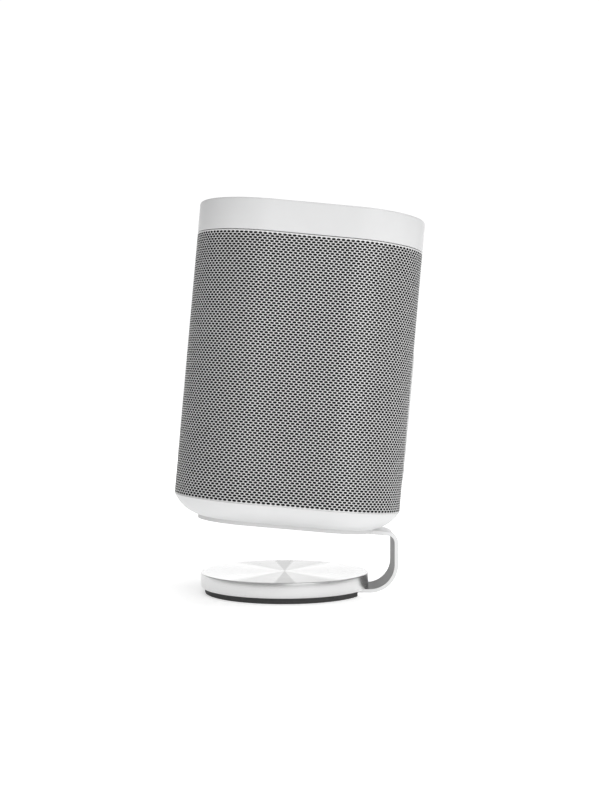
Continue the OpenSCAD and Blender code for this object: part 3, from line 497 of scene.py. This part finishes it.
finish |= {
    "spun_aluminium": spun_metal(),
    "screw_steel": machined("zinc plate", (0.62, 0.62, 0.64), 0.34),
    "socket_steel": machined("tin plate", (0.60, 0.60, 0.61), 0.30, (1, 1, 12)),
    "pole_steel": machined("turned steel", (0.45, 0.45, 0.46), 0.38, (8, 1, 8)),
    "brass_part": machined("brass", (0.80, 0.60, 0.28), 0.30, (6, 6, 1)),
    "sink_aluminium": machined("extruded aluminium", (0.56, 0.56, 0.57), 0.42, (1, 1, 20)),
    "copper_wire": machined("enamelled copper", (0.62, 0.27, 0.11), 0.28, (20, 20, 1), 0.2),
}

# %% [markdown]
# ## Rubber, foam, cloth and paper
#
# These are the dark, quiet parts: the pad the stand rests on, the foam seals, the woven
# acoustic cloth right behind the sleeve's holes, and the paper cone. Rubber and foam get
# their look from roughness and a speckled bump. Cloth is two sets of sine threads that pass
# over and under each other.

# %% Soft dark finishes
def rubber():
    """Matt rubber: dusty speckle, fine pores and no clear highlight."""
    recipe = Recipe("matt rubber")
    dust, pores = recipe.noise(0.5, 3.0, 0.7), recipe.cells(0.22)
    colour = recipe.mix(dust ** 2.0, shade(0.030), shade(0.060))
    return recipe.paint(colour, dust * 0.1 + 0.72, pores, 0.012)


def foam():
    """Closed-cell foam: round cells in the bump."""
    recipe = Recipe("closed-cell foam")
    cells = recipe.cells(0.5)
    return recipe.paint(recipe.mix(cells, shade(0.012), shade(0.030)), cells * 0.1 + 0.8, cells, 0.08)


def woven(name, low, high, pitch):
    """Plain weave: threads along the row and up the piece, lifted where they cross over."""
    recipe = Recipe(name)
    x, y, z = recipe.parts()
    turn = 2 * math.pi / pitch
    warp, weft = ((x + y) * turn).sine(), (z * turn).sine()
    crowns = warp * weft * 0.5 + 0.5
    return recipe.paint(recipe.mix(crowns, low, high), crowns * 0.1 + 0.82, crowns, 0.05)


def paper_cone():
    """Pressed paper under a dark coat: matted fibres."""
    recipe = Recipe("coated paper")
    fibres = recipe.noise(0.8, 5.0, 0.7)
    return recipe.paint(recipe.mix(fibres, shade(0.05), shade(0.10)), fibres * 0.2 + 0.5, fibres, 0.03)


def sintered():
    """Pressed ferrite powder: a grainy dark grey."""
    recipe = Recipe("sintered ferrite")
    grit = recipe.cells(0.15)
    return recipe.paint(recipe.mix(grit, shade(0.045), shade(0.085)), grit * 0.2 + 0.5, grit, 0.02)


finish |= {
    "rubber": rubber(), "black_seal": foam(), "cone_paper": paper_cone(), "magnet_ferrite": sintered(),
    "black_cloth": woven("acoustic cloth", shade(0.006), shade(0.020), 0.5),
    "spider_cloth": woven("dipped cloth", (0.50, 0.38, 0.17), (0.68, 0.54, 0.27), 0.7),
    "dome_silk": woven("coated silk", (0.16, 0.14, 0.09), (0.24, 0.21, 0.15), 0.3),
}

# %% [markdown]
# ## Boards and small electrics
#
# A circuit board is copper tracks under green lacquer: where a track runs, the lacquer stands
# a little higher and looks lighter. A brick pattern with wide and narrow bricks is a fair
# stand-in for runs of parallel track. Wire insulation, coil film and wrapped parts are plain
# coloured plastics with a soft gloss.

# %% Boards, wires and wrapped parts
def circuit_board():
    """Green lacquer with raised, lighter tracks in long parallel runs."""
    recipe = Recipe("circuit board")
    x, y, z = recipe.parts()
    flat = recipe.node("ShaderNodeCombineXYZ", {}, {0: x, 1: z + y})
    tracks = recipe.node("ShaderNodeTexBrick", {}, {"Vector": flat, "Scale": 0.5, "Mortar Size": 0.02,
                         "Brick Width": 4.0, "Row Height": 0.5}, "Fac")
    return recipe.paint(recipe.mix(tracks, (0.015, 0.16, 0.06), (0.05, 0.30, 0.12)),
                        tracks * -0.1 + 0.35, tracks, 0.03)


def tinted(name, colour, roughness):
    """Coloured plastic or film with a slow change of shade."""
    recipe = Recipe(name)
    slow = recipe.noise(2.5, 3.0)
    return recipe.paint(recipe.mix(slow, tuple(c * 0.85 for c in colour), colour),
                        slow * 0.1 + (roughness - 0.05), slow, 0.01)


finish |= {
    "green_board": circuit_board(),
    "lead_red": tinted("wire insulation", (0.50, 0.05, 0.04), 0.4),
    "coil_film": tinted("amber film", (0.45, 0.22, 0.08), 0.25),
    "power_component": tinted("wrapped parts", (0.75, 0.55, 0.10), 0.45),
}
slots = {part["node"]: part["material_slot"] for part in frame["record"]["subparts"]}
for node, piece in frame["nodes"].items():
    piece.data.materials.clear()
    piece.data.materials.append(finish[slots[node]])
print(len(finish), "finishes on", len(frame["nodes"]), "engineering pieces")

# %% [markdown]
# ## The perforated sleeve
#
# The sleeve is sheet steel punched with thousands of small oval holes in a staggered pattern,
# rolled round the body. A picture of holes would go flat at the edge of the body, where the
# real sheet's thickness closes the holes, so each hole is cut for real.
#
# The sheet is tiled like brickwork: one brick a hole, each row half a brick along. A brick has
# six corner points, four corners and the two points where the rows above and below meet, and
# an oval of twelve points inside it. Outer face, hole wall and inner face are stitched once for
# one brick, and the same stitch numbers then serve all of them. The oval is pressed in a
# little, as a punch does, so each hole has a soft rim that catches the light.

# %% Tile one brick
HOLES_AROUND, HOLE_ROWS = 168, 110
PITCH = PERIMETER / HOLES_AROUND
ROW_PITCH = 1.2235
HOLE_W, HOLE_H = 2.06, 1.18
RIM_PRESS = 0.05
OVAL_POINTS = 12
first_row = (GRILLE_LOW + GRILLE_HIGH) / 2 - (HOLE_ROWS - 1) / 2 * ROW_PITCH
oval_angle = 2 * math.pi * np.arange(OVAL_POINTS) / OVAL_POINTS
oval = np.stack([HOLE_W / 2 * np.cos(oval_angle), HOLE_H / 2 * np.sin(oval_angle)], -1)
brick_steps = np.array([[-1, 0], [0, 0], [1, 0], [1, 1], [0, 1], [-1, 1]])
brick_offset = (brick_steps - [0, 0.5]) * [PITCH / 2, ROW_PITCH]


def stitch(outer, inner):
    """Triangles of the flat ring between two closed loops round one middle, both anticlockwise.

    Both loops' corners are sorted by angle. Each corner passed moves its own loop on by one and
    makes one triangle, so every step is a count of the corners passed so far.
    """
    angles = [np.unwrap(np.arctan2(loop[:, 1], loop[:, 0])) for loop in (outer, inner)]
    start = angles[0][0]
    shift = np.argmin((angles[1] - start) % (2 * math.pi))
    ahead_outer = (np.roll(angles[0], -1) - start) % (2 * math.pi)
    ahead_outer[-1] = 2 * math.pi
    ahead_inner = (np.roll(angles[1], -shift - 1) - start) % (2 * math.pi)
    ahead_inner[-1] = 2 * math.pi + 1e-6
    order = np.argsort(np.concatenate([ahead_outer, ahead_inner]), kind="stable")
    is_outer = order < len(outer)
    o, i = np.cumsum(is_outer), np.cumsum(~is_outer)
    outer_now, inner_now = o - is_outer, i - ~is_outer
    n_out, n_in = len(outer), len(inner)
    tip = np.where(is_outer, o % n_out, n_out + (i + shift) % n_in)
    return np.stack([outer_now % n_out, tip, n_out + (inner_now + shift) % n_in], -1)


brick_face = stitch(brick_offset, oval)
print("one brick:", len(brick_face), "triangles a face,", OVAL_POINTS, "wall faces")

# %% [markdown]
# The sleeve is made in panels, so that no mesh grows too heavy. A panel is a block of brick
# columns. Points between bricks are shared by number: they sit on a fine grid of half
# pitches, so a brick's corner is simply a grid position, and one whole number is its key.
# Bricks behind the rear panel are left out, and their ragged edge hides under that panel's
# bezel. Each panel's open edges, those that only one face uses, are walled from the outer skin
# to the inner one, which closes it.

# %% Lay the panels
rear_low, rear_high = upright_box("rear_panel")
PANEL_MID_Z = (rear_low[2] + rear_high[2]) / 2
BEZEL = 3.0
OVERLAP_S, OVERLAP_Z = 0.3, 0.1
window_half = np.array([rear_high[0], (rear_high[2] - rear_low[2]) / 2]) - BEZEL
PANELS = 8
KEY_SHIFT = 2
KEY_ROW = 2 * HOLES_AROUND + 2 * KEY_SHIFT


def open_edges(faces):
    """The directed edges (a, b) of a block of faces whose opposite (b, a) isn't there."""
    ahead = np.roll(faces, -1, axis=1)
    edges = np.stack([faces.ravel(), ahead.ravel()], -1)
    top = int(faces.max()) + 1
    keys, back = edges[:, 0] * top + edges[:, 1], edges[:, 1] * top + edges[:, 0]
    return edges[~np.isin(keys, back)]


def sheet_points(s, z, inset):
    """Points on the sleeve at length s and height z, set in from the outside by inset."""
    spot, normal = outline(s)
    return np.concatenate([spot - normal * np.asarray(inset)[..., None], z[..., None]], -1)


def grille_panel(index):
    """One closed panel: outer skin, hole walls, inner skin and edge walls, as the text above says."""
    per_panel = HOLES_AROUND // PANELS
    column, row = np.meshgrid(np.arange(index * per_panel, (index + 1) * per_panel), np.arange(HOLE_ROWS))
    column, row = column.ravel(), row.ravel()
    middle = 2 * column + row % 2
    s_mid, z_mid = middle * PITCH / 2, first_row + row * ROW_PITCH
    from_window = np.stack([np.abs(s_mid - PERIMETER / 2), np.abs(z_mid - PANEL_MID_Z)], -1)
    keep = (from_window > window_half + [PITCH / 2 - OVERLAP_S, ROW_PITCH / 2 - OVERLAP_Z]).any(1)
    middle, row, s_mid, z_mid = middle[keep], row[keep], s_mid[keep], z_mid[keep]

    line = middle[:, None] + brick_steps[None, :, 0]
    level = row[:, None] + brick_steps[None, :, 1]
    key = level * KEY_ROW + line + KEY_SHIFT
    used, corner = np.unique(key, return_inverse=True)
    corner = corner.reshape(key.shape)
    corner_s = (used % KEY_ROW - KEY_SHIFT) * PITCH / 2
    corner_level = used // KEY_ROW
    corner_z = first_row + (corner_level - 0.5) * ROW_PITCH
    n_corner, n_brick = len(used), len(row)
    oval_s = s_mid[:, None] + oval[None, :, 0]
    oval_z = z_mid[:, None] + oval[None, :, 1]
    own_oval = n_corner + np.arange(n_brick * OVAL_POINTS).reshape(n_brick, OVAL_POINTS)

    skin = np.concatenate([corner, own_oval], 1)[:, brick_face].reshape(-1, 3)
    border = []
    for edge_level, step in ((0, 1), (HOLE_ROWS, -1)):
        on_edge = np.flatnonzero(corner_level == edge_level)
        on_edge = on_edge[np.argsort(corner_s[on_edge])]
        border.append((on_edge, step))
    s_all = np.concatenate([corner_s, oval_s.ravel(), *(corner_s[e] for e, _ in border)])
    ends = [np.full(len(e), GRILLE_LOW if step > 0 else GRILLE_HIGH) for e, step in border]
    z_all = np.concatenate([corner_z, oval_z.ravel(), *ends])
    press = np.concatenate([np.zeros(n_corner), np.full(n_brick * OVAL_POINTS, RIM_PRESS),
                            *(np.zeros(len(e)) for e, _ in border)])
    first_end = n_corner + n_brick * OVAL_POINTS
    strips = []
    for e, step in border:
        end = first_end + np.arange(len(e))
        first_end += len(e)
        strips.append(np.stack([end[:-1], end[1:], e[1:], e[:-1]], -1)[:, ::step])
    strip = np.concatenate(strips)
    strip = np.concatenate([strip[:, [0, 1, 2]], strip[:, [0, 2, 3]]])

    outside = np.concatenate([skin, strip])
    n = len(s_all)
    points = np.concatenate([sheet_points(s_all % PERIMETER, z_all, press),
                             sheet_points(s_all % PERIMETER, z_all, np.full(n, SHEET_T))])
    edge = open_edges(outside)
    walls = np.stack([edge[:, 1], edge[:, 0], edge[:, 0] + n, edge[:, 1] + n], -1)
    blocks = [outside, outside[:, ::-1] + n, walls]
    return lean(points), [face_block(block) for block in blocks]


grille_panels = []
for index in range(PANELS):
    points, blocks = grille_panel(index)
    panel = build(f"grille_panel_{index + 1}", points, blocks, "speaker_on_stand", 50.0)
    # The hole walls and the inner skin get the near-black painted shade.
    shade_painted_faces = np.repeat([0, 1, 1], [len(block) for block in blocks])
    coat(panel, "grille_metal", "sleeve_painted_shade", shade_painted_faces)
    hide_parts("grille_sleeve")
    grille_panels.append(panel)
print("sleeve:", sum(len(p.data.polygons) for p in grille_panels), "faces in", PANELS, "panels")

# %% [markdown]
# ## Cap, tray and foot
#
# The three white mouldings are one idea three times: a profile of (inset, height) points
# carried round the outline. Sharp moulded edges don't exist, so each visible edge is a small
# arc. The tray's side is one big arc from the sleeve's lower edge down to the foot, which
# gives the body its soft bowl shape. Its centre follows from the two end points and the radius.

# %% The foot and the tray
FOOT_IN, BOWL_R, TRAY_FLOOR = 13.2, 19.2, 2.6
FOOT_EDGE_R = 0.4
FOOT_INNER, TRAY_INNER = FOOT_IN + 6, FOOT_IN + 4
foot_edge = arc((FOOT_IN + FOOT_EDGE_R, FOOT_EDGE_R), FOOT_EDGE_R, 270, 180, 4)
foot_rings = carried([(FOOT_INNER, 0)] + foot_edge + [(FOOT_IN, FOOT_T), (FOOT_INNER, FOOT_T)])
foot_points, foot_faces = loft(foot_rings, (0, 0, 0), (0, 0, FOOT_T))
foot = build("foot_shell", lean(foot_points), foot_faces, "speaker_on_stand")
coat(foot, "white_foot")
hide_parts("foot_pad")

bowl_h = GRILLE_LOW - FOOT_T
chord = math.hypot(FOOT_IN, bowl_h)
rise = math.sqrt(BOWL_R ** 2 - chord ** 2 / 4)
bowl_centre = (FOOT_IN / 2 + rise * bowl_h / chord, FOOT_T + bowl_h / 2 + rise * FOOT_IN / chord)
start, end = (math.degrees(math.atan2(z - bowl_centre[1], inset - bowl_centre[0])) % 360
              for inset, z in ((FOOT_IN, FOOT_T), (0.0, GRILLE_LOW)))
tray_profile = ([(TRAY_INNER, FOOT_T)] + arc(bowl_centre, BOWL_R, start, end, 20)[:-1]
                + arc((SEAM_R, GRILLE_LOW - SEAM_R), SEAM_R, 180, 90, 4)
                + [(LIP_IN, GRILLE_LOW), (LIP_IN, GRILLE_LOW + LIP_H), (LIP_IN + LIP_T, GRILLE_LOW + LIP_H),
                   (LIP_IN + LIP_T, GRILLE_LOW - 1), (FOOT_IN, FOOT_T + TRAY_FLOOR),
                   (TRAY_INNER, FOOT_T + TRAY_FLOOR)])
tray_points, tray_faces = loft(carried(tray_profile), (0, 0, FOOT_T), (0, 0, FOOT_T + TRAY_FLOOR))
tray = build("tray_shell", lean(tray_points), tray_faces, "speaker_on_stand")
coat(tray, "white_shell")
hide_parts("base_tray")

# %% [markdown]
# The cap's top is a flat plate with openings for the controls. A slot and a round hole are both
# rounded rectangles, walked with the same number of points whatever their size, so loops of
# different sizes join point to point. Each opening gets a small rounded lip: its loop is widest
# at the plate and closes in over a quarter circle.

# %% The cap with its openings
LOOP_POINTS = 96
BUTTON_GAP, RIM_R = 0.4, 0.25
END_FLAT = 0.1


def slot_loop(middle, size, radius, grow=0.0, count=LOOP_POINTS):
    """A rounded rectangle as a loop of points, anticlockwise, all grown outwards by grow.

    Each quarter of the points is spread over one corner's arc; the straights lie between them.
    """
    a = (np.arange(count) + 0.5) / count * 2 * math.pi
    quarter = np.floor(a / (math.pi / 2)) * math.pi / 2
    share = (a - quarter) / (math.pi / 2) * count / 4
    turn = quarter + (share - 0.5) / (count / 4 - 1) * math.pi / 2
    reach = np.array(size) / 2 - radius
    side = np.sign(np.stack([np.cos(quarter + math.pi / 4), np.sin(quarter + math.pi / 4)], -1))
    spoke = np.stack([np.cos(turn), np.sin(turn)], -1)
    return np.array(middle) + side * reach + spoke * (radius + grow)


def raised(loop, height):
    """A flat loop lifted to one height."""
    return np.concatenate([loop, np.full((len(loop), 1), float(height))], 1)


play_low, play_high = upright_box("play_button")
rocker_low, rocker_high = upright_box("volume_rocker")
lens_low, lens_high = upright_box("status_lens")
_, mic_high = upright_box("mic_boots")
MIC_HOLE_R, LENS_HOLE_R = 0.7, 1.25
FLANGE, ROCKER_EAR, MIC_BOOT_R = 1.5, 3.9, 2.6
mic_x = mic_high[0] - MIC_BOOT_R
play_mid = (0.0, (play_low[1] + play_high[1]) / 2)
play_size = (2 * (play_high[0] - FLANGE), play_high[1] - play_low[1] - 2 * FLANGE)
rocker_mid = (0.0, (rocker_low[1] + rocker_high[1]) / 2)
rocker_size = (2 * (rocker_high[0] - FLANGE), rocker_high[1] - rocker_low[1] - 2 * ROCKER_EAR)
lens_mid = (0.0, (lens_low[1] + lens_high[1]) / 2)


def slot_opening(middle, size):
    """Middle, size and corner radius of the opening round a control, its gap included."""
    return middle, tuple(v + 2 * BUTTON_GAP for v in size), size[1] / 2 - END_FLAT + BUTTON_GAP


def round_opening(x, y, radius):
    """The same three for a round hole. Its corner radius is a hair short of half its width."""
    return (x, y), (2 * radius,) * 2, radius - 0.001


openings = [
    slot_opening(play_mid, play_size),
    slot_opening(rocker_mid, rocker_size),
    round_opening(*lens_mid, LENS_HOLE_R),
    round_opening(-mic_x, 0.0, MIC_HOLE_R),
    round_opening(mic_x, 0.0, MIC_HOLE_R),
]


def pierced_shell(rings, holes, top, bottom, rim):
    """A shell whose last ring edges a flat top plate and whose first ring edges its underside.

    Both plates have the same holes. Each hole's wall starts grown by the rim radius at the top,
    closes in over a quarter circle, and runs straight down to the underside.
    """
    rows, columns = rings.shape[:2]
    points, blocks = [rings.reshape(-1, 3)], [ring_faces(rows, columns)]
    count = rows * columns
    top_parts, under_parts = [np.arange(count - columns, count)], [np.arange(columns)]
    top_loops, under_loops = [rings[-1]], [rings[0]]
    for middle, size, radius in holes:
        stack = [raised(slot_loop(middle, size, radius), bottom)]
        for a in np.radians(np.linspace(0, 90, 5)):
            grow = rim * (1 - math.cos(a))
            stack.append(raised(slot_loop(middle, size, radius, grow), top - rim * (1 - math.sin(a))))
        stack = np.array(stack)
        points.append(stack.reshape(-1, 3))
        blocks.append(ring_faces(len(stack), LOOP_POINTS, first=count)[:, ::-1])
        under_parts.append(count + np.arange(LOOP_POINTS))
        top_parts.append(count + (len(stack) - 1) * LOOP_POINTS + np.arange(LOOP_POINTS))
        under_loops.append(stack[0])
        top_loops.append(stack[-1])
        count += len(stack) * LOOP_POINTS
    blocks.append(np.concatenate(top_parts)[plate_faces(top_loops)])
    blocks.append(np.concatenate(under_parts)[plate_faces(under_loops)][:, ::-1])
    return np.concatenate(points), [face_block(block) for block in blocks]


cap_profile = ([(CAP_WALL, CAP_TOP - CAP_WALL), (CAP_WALL, CAP_LOW), (LIP_IN + LIP_T, CAP_LOW),
                (LIP_IN + LIP_T, CAP_LOW - LIP_H), (LIP_IN, CAP_LOW - LIP_H), (LIP_IN, CAP_LOW)]
               + arc((SEAM_R, CAP_LOW + SEAM_R), SEAM_R, 270, 180, 4)
               + arc((CAP_EDGE_R, CAP_TOP - CAP_EDGE_R), CAP_EDGE_R, 180, 90, 8))
cap_points, cap_faces = pierced_shell(carried(cap_profile), openings, CAP_TOP, CAP_TOP - CAP_WALL, RIM_R)
cap = build("cap_shell", lean(cap_points), cap_faces, "speaker_on_stand")
coat(cap, "white_shell")
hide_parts("top_cap")

# %% [markdown]
# ## The controls
#
# A button's top is a slot-shaped disc: rings of one loop shrink from its edge to its middle,
# and the height is a formula of the place. A finger dish is part of a sphere: sunk by
# r0 - r, softened where it meets the flat so that it has no hard rim. The edge is rounded, and
# a skirt with a flange runs down inside the cap, so nothing opens up when the button moves.

# %% Play button and volume rocker
PROUD, FLANGE_T, EDGE_R = 0.4, 1.2, 0.35
FIRST_TOP_ROW = 9
UNDER_CAP = CAP_TOP - CAP_WALL
PLAY_DROP, ROCKER_DROP = 0.1, 1.1
PLAY_DISH, ROCKER_DISH, DISH_FROM_END = (5.0, 0.5), (4.2, 0.45), 7


def dish(points, middle, reach, depth):
    """How far a round finger dish lowers each point: depth at its middle, nothing past its reach."""
    far = np.hypot(points[..., 0] - middle[0], points[..., 1] - middle[1]) / reach
    return depth * np.clip(1 - far ** 2, 0, 1) ** 1.5


def control(name, node, middle, size, flange_top, dishes, inner_rows):
    """A cap-top control as rings: flange, skirt, rounded edge, then a dished top from row 9 on."""
    radius = size[1] / 2 - END_FLAT
    top = CAP_TOP + PROUD
    rows = []
    for grow, height in ((FLANGE, flange_top - FLANGE_T), (FLANGE, flange_top), (0, flange_top)):
        rows.append(raised(slot_loop(middle, size, radius, grow), height))
    for a in np.radians(np.linspace(0, 90, 7)):
        grow = -EDGE_R * (1 - math.cos(a))
        rows.append(raised(slot_loop(middle, size, radius, grow), top - EDGE_R * (1 - math.sin(a))))
    edge = slot_loop(middle, size, radius, -EDGE_R)
    for share in np.linspace(0, 1, inner_rows + 1)[1:-1]:
        rows.append(raised(middle + (edge - middle) * (1 - share), top))
    rings = np.array(rows)
    pole = np.array([[*middle, top]], float)
    for place, reach, depth in dishes:
        rings[FIRST_TOP_ROW:, :, 2] -= dish(rings[FIRST_TOP_ROW:], place, reach, depth)
        pole[:, 2] -= dish(pole, place, reach, depth)
    under = (*middle, flange_top - FLANGE_T)
    points, faces = loft(rings, under, pole[0])
    piece = build(name, lean(points), faces, node, 40.0)
    coat(piece, "white_button")
    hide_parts(node)


control("play_button_top", "play_button", np.array(play_mid), play_size, UNDER_CAP - PLAY_DROP,
        [(play_mid, *PLAY_DISH)], 24)
dish_x = rocker_size[0] / 2 - DISH_FROM_END
control("volume_rocker_top", "volume_rocker", np.array(rocker_mid), rocker_size, UNDER_CAP - ROCKER_DROP,
        [((s * dish_x, rocker_mid[1]), *ROCKER_DISH) for s in (-1, 1)], 40)

# %% [markdown]
# ## Strap, pad and rear panel
#
# These three are flat stock and plain mouldings, so the engineering mesh already has their
# shape. What it lacks is eased edges: a real edge is never sharp, and its small round catches
# the light as a bright line. Each gets a copy with its seams merged and its flat faces joined,
# and a narrow bevel rounds every edge above 30 degrees. On the strap, the faces that look
# towards the inside of the C are painted dark grey as painted shade.

# %% Copies with eased edges
def eased(name, node, body, width):
    """A merged copy of an engineering mesh with its edges rounded off by a width in mm."""
    mesh = frame["nodes"][node].data.copy()
    mesh.name = name
    if "custom_normal" in mesh.attributes:
        mesh.attributes.remove(mesh.attributes["custom_normal"])
    work = bmesh.new()
    work.from_mesh(mesh)
    bmesh.ops.remove_doubles(work, verts=work.verts, dist=1e-7)
    bmesh.ops.dissolve_limit(work, angle_limit=math.radians(0.5), verts=work.verts, edges=work.edges)
    work.to_mesh(mesh)
    work.free()
    mesh.materials.clear()
    mesh.shade_smooth()
    piece = bpy.data.objects.new(name, mesh)
    bpy.context.scene.collection.objects.link(piece)
    bevel = piece.modifiers.new("eased edges", "BEVEL")
    bevel.width, bevel.segments = width * MM, 2
    bevel.limit_method, bevel.angle_limit = "ANGLE", math.radians(30)
    bevel.harden_normals = True
    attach(piece, body)
    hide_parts(node)
    return piece


strap = eased("strap_bent", "stand_arm", "speaker_on_stand", 0.3)
centres, normals = (np.empty(len(strap.data.polygons) * 3) for _ in range(2))
strap.data.polygons.foreach_get("center", centres)
strap.data.polygons.foreach_get("normal", normals)
centres, normals = centres.reshape(-1, 3) / MM, normals.reshape(-1, 3)
INSIDE_THE_C = np.array([0, 30.0, 20.0])
towards = INSIDE_THE_C - centres
# The faces turned to the inside of the C get the dark grey painted shade.
shaded_strap_faces = ((towards * normals)[:, 1:].sum(1) > 0) & (np.abs(normals[:, 0]) < 0.5)
coat(strap, "white_steel", "strap_painted_shade", shaded_strap_faces)
coat(eased("pad_eased", "desk_pad", "speaker_on_stand", 0.4), "rubber")
coat(eased("rear_panel_eased", "rear_panel", "speaker_on_stand", 0.25), "white_panel")
print("grey strap faces:", int(shaded_strap_faces.sum()), "of", len(shaded_strap_faces))

# %% [markdown]
# ## The round metal base
#
# The disc is a profile turned round the Z axis. Its lower edge has a clear bevel and its upper
# edge a fine one, each eased by a hair so that it shows as a bright line.

# %% The disc
DISC_STEPS = 256
disc_low, disc_high = (np.array(c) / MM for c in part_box("stand_disc"))
DISC_R = disc_high[0]
BEVEL, TOP_BEVEL, EASE = 0.8, 0.3, 0.08
EASE_BACK = EASE * 0.4


def turned(profile, steps=DISC_STEPS):
    """Rings of a profile of (radius, height) points turned round the Z axis."""
    a = 2 * math.pi * np.arange(steps) / steps
    radius, height = np.asarray(profile, float).T
    return np.stack([radius[:, None] * np.cos(a), radius[:, None] * np.sin(a),
                     np.broadcast_to(height[:, None], (len(radius), steps))], -1)


low, high = disc_low[2], disc_high[2]
radii = np.linspace(4, DISC_R - TOP_BEVEL - 1, 12)
disc_profile = ([(r, low) for r in radii] + [(DISC_R - BEVEL - EASE, low), (DISC_R - BEVEL, low + EASE_BACK),
                (DISC_R - EASE_BACK, low + BEVEL - EASE_BACK), (DISC_R, low + BEVEL + EASE)]
                + [(DISC_R, high - TOP_BEVEL - EASE), (DISC_R - EASE_BACK, high - TOP_BEVEL + EASE_BACK),
                   (DISC_R - TOP_BEVEL + EASE_BACK, high - EASE_BACK), (DISC_R - TOP_BEVEL - EASE, high)]
                + [(r, high) for r in radii[::-1]])
disc_points, disc_faces = loft(turned(disc_profile), (0, 0, low), (0, 0, high))
disc = build("disc_body", disc_points * MM, disc_faces, "speaker_on_stand", 20.0)
coat(disc, "spun_aluminium")
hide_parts("stand_disc")

# %% [markdown]
# ## Camera
#
# The camera looks almost level at the speaker's side, a little to one side of its middle.

# %% Camera
EYE = Vector((0.6632, -0.00284, 0.10285))
TURN, RISE = math.radians(0.969), 0.0016
LENS = 54.89
gaze = Vector((-math.cos(TURN), math.sin(TURN), RISE))
camera_data = bpy.data.cameras.new("studio_camera")
camera_data.lens, camera_data.sensor_width = LENS, 36.0
camera = bpy.data.objects.new("studio_camera", camera_data)
camera.location = EYE
camera.rotation_euler = gaze.to_track_quat("-Z", "Y").to_euler()
bpy.context.scene.collection.objects.link(camera)
bpy.context.scene.camera = camera

print("lens, mm:", LENS, "distance from the middle, m:", round(EYE.length, 3))

# %% [markdown]
# ## Light and floor
#
# A broad soft light stands on the camera's side and another above and behind. The front is left
# darker, which models the round corners. A low card behind the speaker is what the disc's face
# mirrors towards the camera. The floor is a pale disc that glows more with distance, so that it
# meets the white world without an edge.

# %% Lights, world and floor
def soft_light(name, place, target, size, power):
    """A rectangular area light of this size in metres, aimed at a point."""
    light = bpy.data.lights.new(name, "AREA")
    light.shape, light.size, light.size_y = "RECTANGLE", size[0], size[1]
    light.energy = power
    lamp = bpy.data.objects.new(name, light)
    lamp.location = place
    lamp.rotation_euler = (Vector(target) - Vector(place)).to_track_quat("-Z", "Y").to_euler()
    bpy.context.scene.collection.objects.link(lamp)


AIM = (0, 0, 0.1)
soft_light("side_softbox", (1.3, 0.55, 0.75), AIM, (1.2, 1.2), 7.7)
soft_light("top_softbox", (-0.1, 0.35, 1.5), AIM, (1.3, 1.3), 9.5)
soft_light("back_card", (-1.6, 0.0, 0.34), (0, 0, 0.02), (2.4, 0.6), 4.6)

SEEN_WHITE, ROOM_LIGHT = 1.05, 0.25
world = bpy.data.worlds.new("studio_world")
world.use_nodes = True
bpy.context.scene.world = world
tree = world.node_tree
tree.nodes.clear()
seen, lighting = (tree.nodes.new("ShaderNodeBackground") for _ in range(2))
for background, strength in ((seen, SEEN_WHITE), (lighting, ROOM_LIGHT)):
    background.inputs["Color"].default_value = (1, 1, 1, 1)
    background.inputs["Strength"].default_value = strength
choose, path, end = (tree.nodes.new(kind) for kind in
                     ("ShaderNodeMixShader", "ShaderNodeLightPath", "ShaderNodeOutputWorld"))
tree.links.new(path.outputs["Is Camera Ray"], choose.inputs[0])
tree.links.new(lighting.outputs[0], choose.inputs[1])
tree.links.new(seen.outputs[0], choose.inputs[2])
tree.links.new(choose.outputs[0], end.inputs[0])

FLOOR_Z, GLOW_REACH = -0.0001, 700.0
floor_rings = turned([(0.2, FLOOR_Z), (1.0, FLOOR_Z), (4.0, FLOOR_Z)], 64)
floor_points, floor_faces = loft(floor_rings[::-1], None, (0, 0, FLOOR_Z))
floor_mesh = bpy.data.meshes.new("floor")
floor_mesh.from_pydata(floor_points.tolist(), [], [f.tolist() for block in floor_faces for f in block])
floor = bpy.data.objects.new("floor", floor_mesh)
bpy.context.scene.collection.objects.link(floor)
pale = Recipe("pale floor")
floor_x, floor_y, _ = pale.parts()
distance_squared = floor_x * floor_x + floor_y * floor_y
far_share = distance_squared / (distance_squared + GLOW_REACH ** 2)
glow = pale.mix(far_share, shade(0.50), shade(0.95))
floor_mesh.materials.append(pale.paint(pale.mix(pale.noise(400.0), shade(0.93), shade(0.95)), 0.7,
                                       emission_color=glow, emission_strength=1.0))
bpy.context.scene.view_settings.view_transform = "Standard"
bpy.context.scene.view_settings.look = "None"
